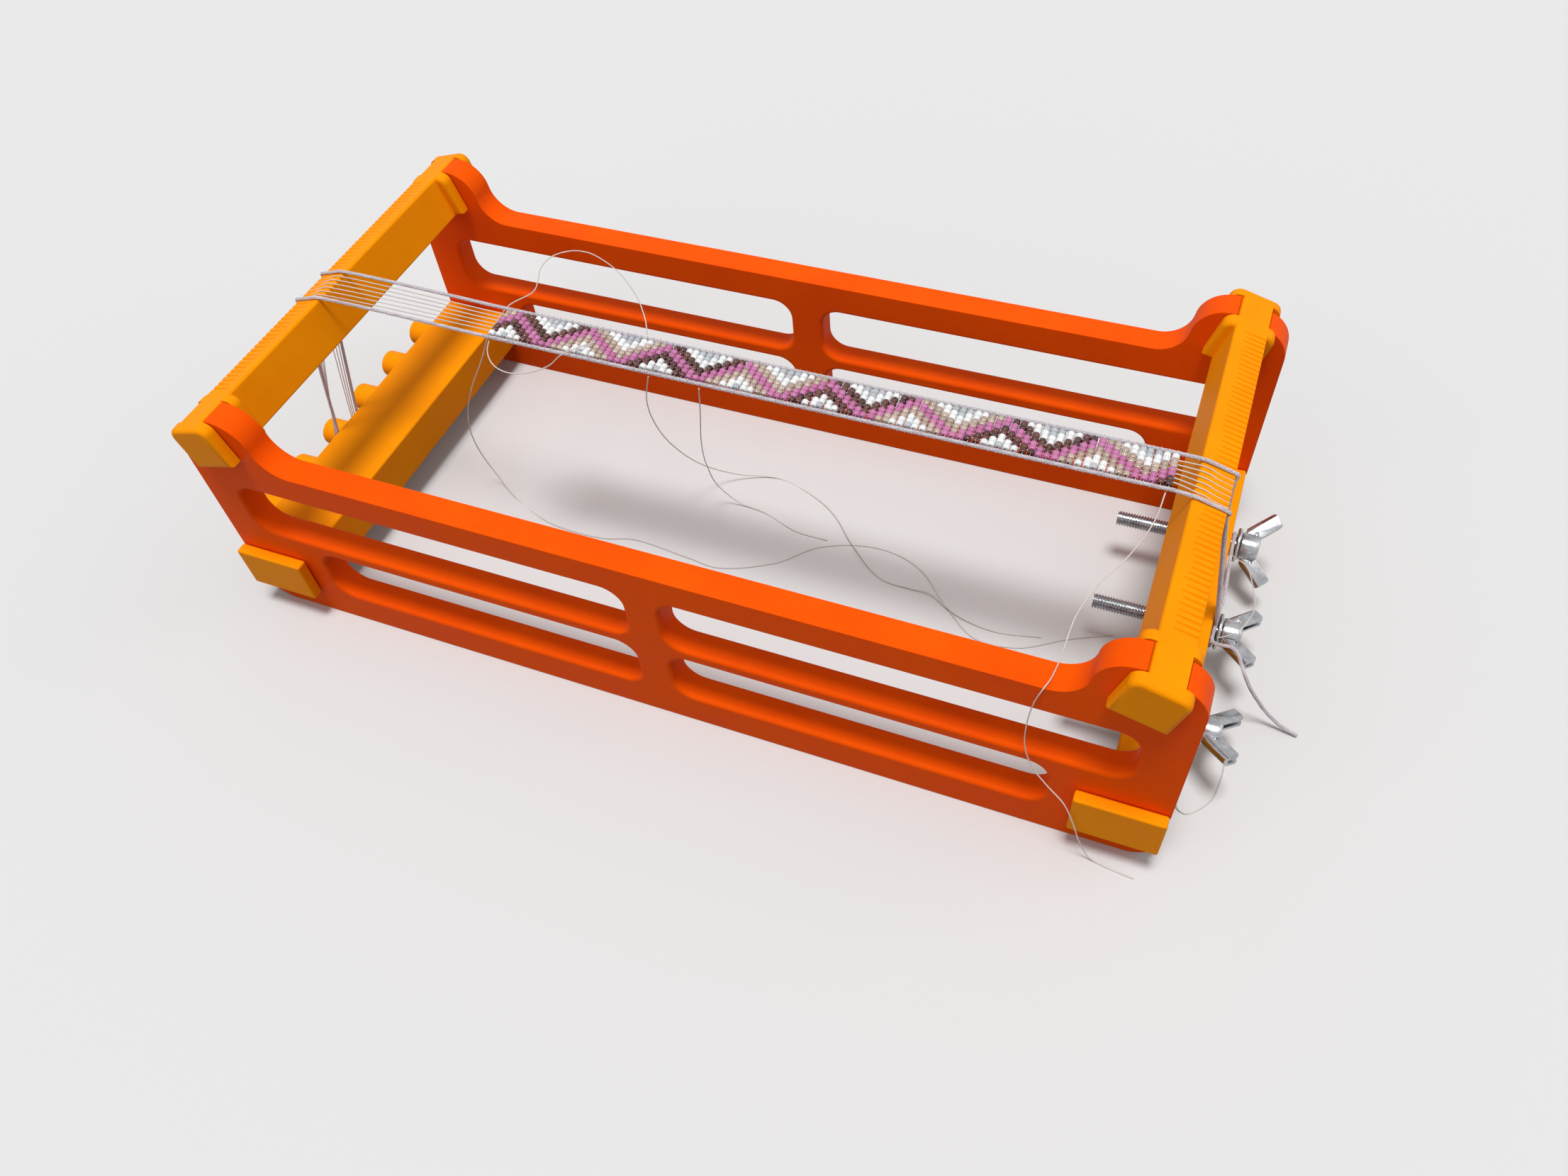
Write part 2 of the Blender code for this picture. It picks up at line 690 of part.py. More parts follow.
def tube(name, route, radius, mat, slack=HELD_SLACK, per_span=12):
    """A round cord along a smooth curve through a route, as one closed tube."""
    points = thinned(spline_points(route, per_span), slack)
    curve = bpy.data.curves.new(name, "CURVE")
    curve.dimensions = "3D"
    curve.bevel_depth = radius
    curve.bevel_resolution = 2
    curve.use_fill_caps = True
    spline = curve.splines.new("POLY")
    spline.points.add(len(points) - 1)
    for held, point in zip(spline.points, points):
        held.co = (*point, 1)
    curve.materials.append(mat)
    return place(bpy.data.objects.new(name, curve))


def beside_band(x, across):
    """Depth of a line that runs beside the band's middle."""
    return BAND_START_Y + (x - BAND_START) * math.tan(BAND_SLOPE) + across


def over_comb(side, groove, radius):
    """A strand's points from a comb bar's inner top edge, over a groove, to its outer side."""
    clear = radius + GAP
    half = COMB_WIDTH / 2
    y = groove * GROOVE_PITCH
    bends = ((-half + COMB_EDGE, clear), (-half + 3 * COMB_EDGE, clear), (0, clear),
             (half - COMB_EDGE, clear), (half + 0.7 * clear, 0.7 * clear),
             (half + clear, -COMB_EDGE), (half + clear, -2.5 * COMB_EDGE))
    points = []
    for across, up in bends:
        x, z = comb_point(side, across, COMB_HEIGHT + up)
        points.append((x, y, z))
    return points


def round_peg(x, radius):
    """A strand's points down the rear of the warp's peg, under it and up its front."""
    swing = PEG_RADIUS + GAP + radius
    points = []
    for step in range(9):
        angle = math.radians(-202.5 * step / 8 + 11.25)
        points.append((x, peg_y(WARP_PEG) + swing * math.cos(angle),
                       SCREW_Z + swing * math.sin(angle)))
    return points


def strand_left(grooves, offset, radius, layer):
    """A strand from the band's left end, over the comb, round the peg and back to the band."""
    x_peg = -LOW_BAR_FACE - 2 * GAP - CORD_RADIUS - layer
    rear = over_comb(-1, grooves[0], radius)
    front = over_comb(-1, grooves[1], radius)
    ends = []
    for way in (1, -1):
        x = BAND_START - GAP
        ends.append((x, beside_band(x, way * offset), BAND_Z))
    return [ends[0]] + rear + round_peg(x_peg, radius) + front[::-1] + [ends[1]]


def strand_right(groove, offset, radius, place_y, place_x):
    """A strand from the band's right end, over the comb and down to the knot."""
    x = BAND_END + GAP
    start = (x, beside_band(x, offset), BAND_Z)
    top = over_comb(1, groove, radius)
    x_knot = LOW_BAR_FACE + GAP + CORD_RADIUS + place_x
    knot_top = SCREW_Z + math.sqrt((WOUND_RADIUS + GAP) ** 2 - place_y ** 2)
    low = Vector((x_knot, place_y, knot_top))
    high = Vector((COMB_FACE_X + CORD_RADIUS + place_x, GATHER_Y + place_y,
                   top[-1][2] - GATHER_DROP))
    middle = high.lerp(low, 0.5)
    return [start] + top + [high, middle, low]


def along_band(across):
    """A strand's points beside the band, from its right end to its left end."""
    points = []
    for share in (0.99, 0.75, 0.5, 0.25, 0.01):
        x = BAND_START + BAND_LENGTH * share
        points.append((x, beside_band(x, across), BAND_Z))
    return points


# The thick cord: from the knot along the rear edge of the band, round the peg and back

THICK_LEFT = strand_left((1, -6), EDGE_CORD_Y, CORD_RADIUS, 0)
REAR_RIGHT = strand_right(0, EDGE_CORD_Y, CORD_RADIUS, 0.0016, 0)
FRONT_RIGHT = strand_right(-7, -EDGE_CORD_Y, CORD_RADIUS, -0.0016, 0)
tube("warp_cord", REAR_RIGHT[::-1] + along_band(EDGE_CORD_Y) + THICK_LEFT
     + along_band(-EDGE_CORD_Y)[::-1] + FRONT_RIGHT, CORD_RADIUS, CORD)

# Three thin loops laid the same way, which run inside the band between its ends

LEFT_GROOVES = ((0, -5), (-1, -4), (-2, -3))
for number, grooves in enumerate(LEFT_GROOVES):
    rows = (2.5 - number) * BEAD_LENGTH
    layer = CORD_RADIUS + GAP + THREAD_RADIUS + number * THREAD_STEP
    tube(f"warp_left_{number + 1}", strand_left(grooves, rows, THREAD_RADIUS, layer),
         THREAD_RADIUS, THREAD, slack=LOOSE_SLACK / 2)

for number in range(BEAD_ROWS - 1):
    rows = (2.5 - number) * BEAD_LENGTH
    spread = (1 - number // 2) * THREAD_STEP
    depth = (number % 2 - 0.5) * THREAD_STEP
    route = strand_right(-1 - number, rows, THREAD_RADIUS, spread, depth)
    tube(f"warp_right_{number + 1}", route, THREAD_RADIUS, THREAD)


# The knot: the cord's turns round the middle screw's neck, with a lump at their front

def knot():
    turns = rod("knot", WOUND_RADIUS, 0, 2 * CORD_RADIUS, CORD)
    lump = bmesh.new()
    bmesh.ops.create_icosphere(lump, subdivisions=1, radius=1)
    bmesh.ops.scale(lump, vec=LUMP_SIZE, verts=lump.verts)
    bmesh.ops.translate(lump, vec=LUMP_PLACE, verts=lump.verts)
    combine(turns, [new_object("lump", lump, CORD)], "UNION")
    combine(turns, [rod("bore", SCREW_RADIUS + GAP, -GAP, COIL_SPACE, CORD)], "DIFFERENCE")
    turns.location = (LOW_BAR_FACE + GAP, 0, SCREW_Z)
    smooth(turns)
    return place(turns)


knot()


def thread(name, stretches, radius=THREAD_RADIUS, mat=THREAD):
    """A loose thread: stretches of points in millimetres, each from its own start in metres."""
    points = []
    for start, route in stretches:
        for step in route:
            x, y, z = [begin + MM * way for begin, way in zip(start, step)]
            points.append((x, y, max(z, radius)))
    tube(name, points, radius, mat, slack=LOOSE_SLACK)


# Cord from the rear screw's neck to the knot, the thick cord's tail, and a thin arc

NECK = (LOW_BAR_FACE + GAP + CORD_RADIUS, 0, SCREW_Z)
REAR_NECK = (NECK[0], screw_y(0), SCREW_Z)
FRONT_NECK = (NECK[0], screw_y(SCREW_COUNT - 1), SCREW_Z)
NECK_LOOP = []
for step in range(9):
    angle = math.radians(30 * step - 150)
    swing = (SCREW_RADIUS + GAP + CORD_RADIUS) / MM
    NECK_LOOP.append((0, swing * math.cos(angle), swing * math.sin(angle)))

thread("anchor_cord", ((REAR_NECK, NECK_LOOP + [(0.2, -5.9, 1.5), (0.8, -11.9, -1.1)]),
                       (NECK, ((1, 11, -1.9), (0.2, 6.4, -0.8), (0.1, 5.3, -0.3)))),
       CORD_RADIUS, CORD)
thread("cord_tail", ((NECK, ((1.1, -7.42, -1.3), (1.3, -9.4, -2.3), (2.2, -11.4, -4.1),
                             (5.5, -12.9, -7.1), (11, -13.8, -10.5), (18, -13.9, -13.1),
                             (24.7, -13.6, -14.2))),), CORD_RADIUS, CORD)
thread("thin_arc", ((REAR_NECK, ((0.1, -3.3, -2.1), (1.2, -6.9, -2.7), (5, -11.1, -3.2))),
                    (NECK, ((9.5, 14.4, -3.7), (5.5, 11.2, -3.7), (1.6, 7.8, -2.9),
                            (0.3, 5.4, -1.8)))))
thread("front_neck_thread", ((FRONT_NECK, ((0, -2.5, -0.3), (0.4, -5.5, -3.7), (1, -9.7, -10.1),
                                           (1.6, -13.5, -13.8), (4, -14.1, -14.7),
                                           (8.5, -9.1, -14.7), (9.9, -2.1, -14.7),
                                           (10, 4.4, -14.7))),))

# Loose ends of the beading thread, from the ends of the band and from the front rail

FIRST_BEAD = (BAND_START, BAND_START_Y, BAND_Z)
LAST_BEAD = (BAND_END, BAND_END_Y, BAND_Z)
TABLE = (BAND_START, BAND_START_Y, 0)
FRONT_RAIL = (BAND_END, -OUTER_Y, RAIL_TOP)
FRONT_TABLE = (BAND_END, -OUTER_Y, 0)

thread("rear_loop", ((FIRST_BEAD, ((-0.4, -4.1, -1.2), (-1.1, -0.2, -1.2), (-2.6, 9.1, -2.3),
                                   (-0.6, 17.3, -3.8), (-2.6, 23.2, -4.8), (-5.3, 29.1, -5.8),
                                   (-5.3, 34.9, -6.3), (-1.6, 38.5, -6.3), (3.6, 38.7, -5.8),
                                   (11, 35.3, -4.8), (18.8, 29.6, -3.3), (27.6, 21.2, -1.8),
                                   (34.6, 12.2, -0.3), (38.1, 6.4, 0.4))),))
thread("front_loop", ((FIRST_BEAD, ((1.3, -6.5, -0.2), (1.4, -8.4, -1.8), (3.3, -10.3, -3.8),
                                    (7.4, -11.1, -4.8), (12.6, -9.7, -4.8), (17.9, -7.8, -2.8),
                                    (21.5, -6.8, 0.6), (23.9, -5.3, 1.6), (27.9, -0.9, 1.4))),))
thread("long_tail", ((FIRST_BEAD, ((-0.35, -4.1, -0.3), (-3.6, -5.5, -7.8), (-10.8, -4.6, -19.8),
                                   (-17.1, -2.6, -31.8), (-22.1, 0.6, -44.8),
                                   (-24.1, 3.9, -57.8))),
                     (TABLE, ((-21.1, 4.5, 2.4), (-14.7, 1.1, 0), (-0.1, -4.5, 0),
                              (16.9, -4.9, 0), (25.9, -2.5, 0), (43.9, -3.9, 0),
                              (52.9, -4.5, 0), (67.5, 2.1, 0), (76.9, 11.1, 0),
                              (88.3, 15.5, 0), (97.9, 15.5, 0), (106.5, 11.9, 0),
                              (116.4, 2.2, 0), (126.3, -5.3, 0), (137.4, -4.6, 0),
                              (148.9, 2.1, 0), (159.4, 7.1, 0)))))
thread("middle_tail", ((FIRST_BEAD, ((44.5, -6.7, -0.2), (41.3, -4.4, -9.8), (37.4, 2.5, -24.8),
                                     (35.9, 11.1, -41.8), (38.5, 20.5, -57.8))),
                       (TABLE, ((45.3, 28.1, 2.6), (56.5, 32.3, 0), (69.3, 28.5, 0),
                                (76.9, 23.7, 0.3), (85.8, 14.3, 0.9), (96.8, 5.9, 0.2),
                                (105.9, 5, 0.5), (110.9, 4.7, 1), (117.9, 0.9, 1),
                                (123.4, -0.7, 0.4), (131.1, -1.5, 0), (142.4, 0.5, 0)))))
thread("short_tail", ((FIRST_BEAD, ((57.6, -6.9, -0.2), (54.3, -2.5, -12.8), (48.9, 4.7, -31.8),
                                    (44.9, 12.5, -48.8), (44.5, 17.5, -61.8))),
                      (TABLE, ((49.5, 19.1, 1.2), (57.6, 18.5, 0), (68.6, 14.7, 0),
                               (78.3, 14.3, 0)))))
thread("right_tail", ((LAST_BEAD, ((-1, -6.6, 0), (-1.6, -12.3, -2.8), (-4.6, -19.9, -6.2),
                                   (-9, -26.7, -9.4))),
                      (FRONT_RAIL, ((-11.6, 16.8, 3.5), (-12.1, 10.2, 1.5), (-12.3, 6.8, 0.8),
                                    (-12.9, 1.8, 0.9), (-13.7, -0.4, 0.4), (-14.9, -0.85, -4.1),
                                    (-15.7, -0.85, -12.5), (-15.3, -0.9, -21.5),
                                    (-12.9, -1.25, -28.5), (-9.3, -2.25, -32.1),
                                    (-4.9, -3.75, -35.1), (-1.9, -4.35, -41.5),
                                    (0.3, -4.65, -47.9))),
                      (FRONT_TABLE, ((3.5, -4.85, 0.8), (7.9, -5.55, 0), (13.7, -6.15, 0)))))
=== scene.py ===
# Bead loom: the finish of every surface, the beads, the braided cords and the loose threads.
# The loom stands on its two side plates. X runs along it, Y from front to back, Z up, in metres.

import math
import random

import bmesh
import bpy
from mathutils import Matrix, Vector


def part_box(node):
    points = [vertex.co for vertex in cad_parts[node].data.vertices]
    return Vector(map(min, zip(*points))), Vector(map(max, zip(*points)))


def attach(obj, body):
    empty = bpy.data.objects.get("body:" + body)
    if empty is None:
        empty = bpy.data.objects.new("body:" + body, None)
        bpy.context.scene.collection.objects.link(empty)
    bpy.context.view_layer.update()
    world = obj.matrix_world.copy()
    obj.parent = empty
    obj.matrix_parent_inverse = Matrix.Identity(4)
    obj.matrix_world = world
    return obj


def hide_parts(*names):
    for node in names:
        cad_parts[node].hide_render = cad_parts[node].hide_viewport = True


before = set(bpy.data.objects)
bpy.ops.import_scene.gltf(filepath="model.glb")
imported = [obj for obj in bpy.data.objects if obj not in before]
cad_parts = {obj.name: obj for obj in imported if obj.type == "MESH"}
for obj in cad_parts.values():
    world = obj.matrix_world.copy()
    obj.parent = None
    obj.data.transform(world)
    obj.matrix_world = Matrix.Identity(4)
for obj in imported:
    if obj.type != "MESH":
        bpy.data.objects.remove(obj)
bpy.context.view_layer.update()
random.seed(11)


# Camera, table and light

# The camera stands over the loom's right-hand end and looks down along it. The table is a
# plain pale sheet, lit by a pale sky, a wide lamp nearly overhead and two faint side lamps.

LENS = 27.72
SENSOR_WIDTH = 36
NEAREST_SEEN = 0.005
CAMERA_PLACE = (0.10425, -0.19423, 0.25630)
CAMERA_TURN = (38.535, 3.903, 21.545)
TABLE_SIZE = 6.0
TABLE_PALE = 0.68
TABLE_BOUNCE = 0.14
SKY_SEEN = 0.82
SKY_LIGHT = 0.32


def set_out(name, data):
    """An object with its data, put in the scene."""
    made = bpy.data.objects.new(name, data)
    bpy.context.scene.collection.objects.link(made)
    return made


def part_object(name, bm):
    """An object with a bmesh's shape, which is then freed."""
    mesh = bpy.data.meshes.new(name)
    bm.to_mesh(mesh)
    bm.free()
    return set_out(name, mesh)


def plain_shader(name, **values):
    """A material, its node tree and its shader with named sockets set."""
    made = bpy.data.materials.new(name)
    made.use_nodes = True
    shader = made.node_tree.nodes["Principled BSDF"]
    for label, value in values.items():
        shader.inputs[label.replace("_", " ")].default_value = value
    return made, made.node_tree, shader


def node(tree, kind, feeds, **settings):
    """A new shader node with its settings, its sockets linked or set. Returns its outputs."""
    made = tree.nodes.new(kind)
    for name, value in settings.items():
        setattr(made, name, value)
    for socket, value in feeds.items():
        if isinstance(value, bpy.types.NodeSocket):
            tree.links.new(value, made.inputs[socket])
        else:
            made.inputs[socket].default_value = value
    return made.outputs


def maths(tree, operation, *values):
    """The result of a sum on one or two values or sockets."""
    return node(tree, "ShaderNodeMath", dict(enumerate(values)), operation=operation)[0]


def blend_colours(tree, share, low, high):
    """A colour between two others, by a share."""
    return node(tree, "ShaderNodeMix", {0: share, 6: low, 7: high}, data_type="RGBA")[2]


def by_ray(tree, lit_by, seen, socket):
    """Gives a colour socket one grey as a light and another where it is seen or reflected."""
    rays = node(tree, "ShaderNodeLightPath", {})
    gloss = maths(tree, "MAXIMUM", rays["Is Glossy Ray"], rays["Is Transmission Ray"])
    direct = maths(tree, "MAXIMUM", rays["Is Camera Ray"], gloss)
    greys = [(shade, shade, shade, 1) for shade in (lit_by, seen)]
    tree.links.new(blend_colours(tree, direct, *greys), socket)


def lamp(name, side, softness, strength):
    """A wide, far lamp that shines from a side, so that the whole table is lit alike."""
    data = bpy.data.lights.new(name, "SUN")
    data.energy = strength
    data.angle = math.radians(softness)
    set_out(name, data).rotation_euler = (-Vector(side)).to_track_quat("-Z", "Y").to_euler()


camera_data = bpy.data.cameras.new("camera")
camera_data.lens = LENS
camera_data.sensor_width = SENSOR_WIDTH
camera_data.clip_start = NEAREST_SEEN
camera = set_out("camera", camera_data)
camera.location = CAMERA_PLACE
camera.rotation_euler = [math.radians(turn) for turn in CAMERA_TURN]
bpy.context.scene.camera = camera
bpy.context.scene.view_settings.view_transform = "Standard"

world = bpy.data.worlds.new("studio")
world.use_nodes = True
bpy.context.scene.world = world
by_ray(world.node_tree, SKY_LIGHT, SKY_SEEN, world.node_tree.nodes["Background"].inputs["Color"])

table_bm = bmesh.new()
bmesh.ops.create_grid(table_bm, x_segments=1, y_segments=1, size=TABLE_SIZE / 2)
table = part_object("table", table_bm)
paint, paint_tree, paint_shader = plain_shader("table", Roughness=0.9, Specular_IOR_Level=0.0)
by_ray(paint_tree, TABLE_BOUNCE, TABLE_PALE, paint_shader.inputs["Base Color"])
table.data.materials.append(paint)

lamp("overhead_lamp", (0.03, -0.11, 1.0), 17, 2.4)
lamp("side_lamp", (0.75, 0.25, 0.55), 45, 0.4)
lamp("front_lamp", (-0.45, -0.8, 0.45), 50, 0.4)


# Side plates

# The front and rear plate are printed flat in orange-red plastic. Each has a long rail with
# four slots whose rims are rounded, and an ear at both ends with a tilted open notch. SLOTS
# has a slot's distance from the plate's end and the heights of its lower and upper side.

PLATE_LENGTH = 0.245
PLATE_THICK = 0.0071
LOOM_DEPTH = 0.1135
RAIL_TOP = 0.0545
FOOT_RADIUS = 0.0078
EAR_TOP = 0.0690
EAR_FILLET = 0.0081
HORN_RADIUS = 0.0088
HORN_DROP = 0.0023
HORN_END_FLAT = 0.0013
PLATE_EDGE = 0.00022
POST_WIDTH = 0.0092
SLOT_RADIUS = 0.0052
SLOT_ROUND = 0.0012
SLOTS = ((0.0100, 0.0297, 0.0459), (0.0268, 0.0101, 0.0257))
GAP = 0.0003
COMB_TILT = math.radians(16.3)
COMB_INSET = 0.0125
COMB_DROP = 0.0128
COMB_WIDTH = 0.00775
NECK_LIFT = 0.0025
LOW_BAR_WIDTH = 0.0202
LOW_BAR_HEIGHT = 0.0130
LOW_BAR_BASE = 0.0082
LOW_BAR_SET_IN = 0.0003
LOW_NECK_STEP = 0.0022
LAYER_HEIGHT = 0.0002

HALF_LENGTH = PLATE_LENGTH / 2
OUTER_Y = LOOM_DEPTH / 2
INNER_Y = OUTER_Y - PLATE_THICK
COMB_X = HALF_LENGTH - COMB_INSET
COMB_BASE = EAR_TOP - COMB_DROP
LOW_BAR_X = HALF_LENGTH - LOW_BAR_SET_IN - LOW_BAR_WIDTH / 2
plate_low, plate_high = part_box("front_plate")
LOOM_MIDDLE = Vector(((plate_low[0] + plate_high[0]) / 2, 0, 0))


def arc(centre, radius, start, end, steps):
    """Points on an arc, angles in degrees from the first axis towards the second."""
    points = []
    for step in range(steps + 1):
        angle = math.radians(start + (end - start) * step / steps)
        points.append((centre[0] + radius * math.cos(angle), centre[1] + radius * math.sin(angle)))
    return points


def comb_point(side, across, up):
    """X and Z of a point given across (outwards) and up in a comb bar's tilted frame."""
    x = COMB_X + across * math.cos(COMB_TILT) + up * math.sin(COMB_TILT)
    z = COMB_BASE - across * math.sin(COMB_TILT) + up * math.cos(COMB_TILT)
    return side * x, z


def along_wall(across, height):
    """The point of a notch wall that lies at a height."""
    up = (height - COMB_BASE + across * math.sin(COMB_TILT)) / math.cos(COMB_TILT)
    return comb_point(1, across, up)


def prism(corners, shift):
    """A bmesh of a face swept by a vector."""
    bm = bmesh.new()
    face = bm.faces.new([bm.verts.new(corner) for corner in corners])
    grown = bmesh.ops.extrude_face_region(bm, geom=[face])
    tops = [item for item in grown["geom"] if isinstance(item, bmesh.types.BMVert)]
    bmesh.ops.translate(bm, verts=tops, vec=shift)
    bmesh.ops.recalc_face_normals(bm, faces=bm.faces)
    return bm


def slab(outline, low, high):
    """A bmesh of an XZ outline swept between two depths."""
    return prism([(x, low, z) for x, z in outline], (0, high - low, 0))


def round_rim(bm, chosen, offset, segments=3):
    """Rounds the edges that a test picks out."""
    edges = [edge for edge in bm.edges if chosen(edge)]
    bmesh.ops.bevel(bm, geom=edges, offset=offset, segments=segments, profile=0.5,
                    affect="EDGES", material=-1)


def baked(made):
    """The mesh that an object's curve or modifiers give."""
    bpy.context.view_layer.update()
    seen = made.evaluated_get(bpy.context.evaluated_depsgraph_get())
    return bpy.data.meshes.new_from_object(seen)


def combine(whole, tools, operation):
    """Cuts tools out of an object or joins them to it, and removes them."""
    for tool in tools:
        boolean = whole.modifiers.new(operation.lower(), "BOOLEAN")
        boolean.operation = operation
        boolean.solver = "EXACT"
        boolean.object = tool
    mesh = baked(whole)
    whole.modifiers.clear()
    whole.data = mesh
    for tool in tools:
        bpy.data.objects.remove(tool)
    return whole


def finished(name, shape, material, place, body="loom", stands_for=(), crease=35,
             even=True):
    """A finished piece: a copy of a mesh moved to its place, with smooth shading and a body."""
    mesh = shape.copy()
    mesh.name = name
    mesh.transform(Matrix.Translation(LOOM_MIDDLE) @ place)
    mesh.materials.clear()
    mesh.materials.append(material)
    mesh.shade_smooth()
    mesh.set_sharp_from_angle(angle=math.radians(crease))
    made = set_out(name, mesh)
    if even:
        weights = made.modifiers.new("even_shading", "WEIGHTED_NORMAL")
        weights.keep_sharp = True
        weights.weight = 90
    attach(made, body)
    if stands_for:
        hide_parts(*stands_for)
    return made


def new_group(name, inputs):
    """A node group for a surface, its input sockets and the place on a piece."""
    group = bpy.data.node_groups.new(name, "ShaderNodeTree")
    for label, kind in inputs.items():
        group.interface.new_socket(name=label, in_out="INPUT", socket_type="NodeSocket" + kind)
    inside = node(group, "NodeGroupInput", {})
    return group, inside, node(group, "ShaderNodeTexCoord", {})["Object"]


def put_out(group, **values):
    """Gives a group its output sockets, each with its link, and returns the group."""
    for label in values:
        kind = "NodeSocketColor" if label == "Colour" else "NodeSocketFloat"
        group.interface.new_socket(name=label, in_out="OUTPUT", socket_type=kind)
    node(group, "NodeGroupOutput", values)
    return group


def speckle(tree, where, scale, detail=3.0, rough=0.6):
    """The value of a noise at a place."""
    feeds = {"Vector": where, "Scale": scale, "Detail": detail, "Roughness": rough}
    return node(tree, "ShaderNodeTexNoise", feeds)[0]


def spread(tree, *ranges):
    """A value mapped from one range to another, kept inside it."""
    return node(tree, "ShaderNodeMapRange", dict(enumerate(ranges)))[0]


def mixed(tree, main, other, share):
    """A value with a share of another added to it."""
    return maths(tree, "ADD", main, maths(tree, "MULTIPLY", other, share))


def printed_surface():
    """Printed plastic: fine layers stacked along an axis, a dry grain and faint cloudy patches."""
    group, inside, where = new_group(
        "printed_surface", {"Pale": "Color", "Deep": "Color", "Layers": "Vector",
                            "Layer Depth": "Float", "Grain": "Float"})
    clouds = speckle(group, where, 55.0, detail=4.0)
    grain = speckle(group, where, 2600.0, detail=2.0, rough=0.7)
    across = node(group, "ShaderNodeVectorMath", {0: where, 1: inside["Layers"]},
                  operation="DOT_PRODUCT")["Value"]
    ridge = maths(group, "SINE", mixed(group, across, speckle(group, where, 300.0), 1.6))
    ridge_height = maths(group, "MULTIPLY", ridge, inside["Layer Depth"])
    mottle = spread(group, mixed(group, clouds, grain, 0.35), 0.45, 0.85)
    return put_out(group, Colour=blend_colours(group, mottle, inside["Deep"], inside["Pale"]),
                   Roughness=spread(group, clouds, 0.3, 0.7, 0.5, 0.62),
                   Height=mixed(group, ridge_height, grain, inside["Grain"]))


PRINTED = printed_surface()


def dressed(name, group, inputs, bump_height, bump_strength=1.0, **values):
    """A material whose shader takes colour, roughness and height from a surface group."""
    made, tree, shader = plain_shader(name, **values)
    surface = node(tree, "ShaderNodeGroup", inputs, node_tree=group)
    tree.links.new(surface["Colour"], shader.inputs["Base Color"])
    if "Roughness" in surface:
        tree.links.new(surface["Roughness"], shader.inputs["Roughness"])
    bump = node(tree, "ShaderNodeBump", {"Height": surface["Height"], "Distance": bump_height,
                                         "Strength": bump_strength})
    tree.links.new(bump[0], shader.inputs["Normal"])
    return made


def printed_plastic(name, pale, deep, layers):
    """Satin printed plastic whose layers are stacked along a direction."""
    turns = [way * 2 * math.pi / LAYER_HEIGHT for way in layers]
    inputs = {"Pale": (*pale, 1), "Deep": (*deep, 1), "Layers": turns, "Layer Depth": 0.1,
              "Grain": 1.0}
    return dressed(name, PRINTED, inputs, 0.00003, Specular_IOR_Level=0.12,
                   Specular_Tint=(1.0, 0.5, 0.2, 1.0))


ORANGE = printed_plastic("orange_red_plastic", (0.95, 0.098, 0.001), (0.89, 0.076, 0.001),
                         (0, 1, 0))


def plate_outline():
    """A side plate's outline: feet, low notches, ears with their horns, and the rail."""
    notch_low = LOW_BAR_BASE + LOW_NECK_STEP - GAP
    notch_high = LOW_BAR_BASE + LOW_BAR_HEIGHT - LOW_NECK_STEP + GAP
    notch_end = LOW_BAR_X - LOW_BAR_WIDTH / 2 + LOW_NECK_STEP - GAP
    points = arc((HALF_LENGTH - FOOT_RADIUS, FOOT_RADIUS), FOOT_RADIUS, -90, 0, 12)
    points += [(HALF_LENGTH, notch_low), (notch_end, notch_low)]
    points += [(notch_end, notch_high), (HALF_LENGTH, notch_high)]
    horn = (HALF_LENGTH - HORN_RADIUS, EAR_TOP - HORN_DROP - HORN_RADIUS)
    wall = COMB_WIDTH / 2 + GAP
    outer_wall = along_wall(wall, EAR_TOP - HORN_DROP)[0]
    reach = math.degrees(math.acos(min(1, max(-1, (outer_wall - horn[0]) / HORN_RADIUS))))
    points += arc(horn, HORN_RADIUS, 0, reach, 12)
    points.append(along_wall(wall, points[-1][1]))
    points.append(comb_point(1, wall, NECK_LIFT - GAP))
    points.append(comb_point(1, -wall, NECK_LIFT - GAP))
    points.append(along_wall(-wall, EAR_TOP))
    bend = math.degrees(math.acos(1 - (EAR_TOP - RAIL_TOP) / (2 * EAR_FILLET)))
    top_x = points[-1][0] - HORN_END_FLAT
    sway = 2 * EAR_FILLET * math.sin(math.radians(bend))
    points += arc((top_x, EAR_TOP - EAR_FILLET), EAR_FILLET, 90, 90 + bend, 14)
    points += arc((top_x - sway, RAIL_TOP + EAR_FILLET), EAR_FILLET, -90 + bend, -90, 14)[1:]
    return points + [(-x, z) for x, z in reversed(points)]


def slot_cutter(middle, half_length, half_height):
    """A slot through a plate that flares out in a rounded rim at both faces."""
    bm = bmesh.new()
    flare = arc((SLOT_ROUND, SLOT_ROUND), SLOT_ROUND, 270, 180, 6)
    depths = [(INNER_Y - GAP, SLOT_ROUND)] + [(INNER_Y + back, grow) for grow, back in flare]
    depths += [(OUTER_Y - back, grow) for grow, back in reversed(flare)]
    depths.append((OUTER_Y + GAP, SLOT_ROUND))
    previous = []
    for depth, grow in depths:
        ring = []
        for side_x, side_z, start in ((1, 1, 0), (-1, 1, 90), (-1, -1, 180), (1, -1, 270)):
            centre = (middle[0] + side_x * (half_length - SLOT_RADIUS),
                      middle[1] + side_z * (half_height - SLOT_RADIUS))
            for x, z in arc(centre, SLOT_RADIUS + grow, start, start + 90, 10):
                ring.append(bm.verts.new((x, depth, z)))
        edges = [bm.edges.new((ring[index - 1], ring[index])) for index in range(len(ring))]
        if previous:
            bmesh.ops.bridge_loops(bm, edges=previous + edges)
        else:
            bm.faces.new(ring)
        previous = edges
    bm.faces.new(ring)
    bmesh.ops.recalc_face_normals(bm, faces=bm.faces)
    return part_object("slot_cutter", bm)


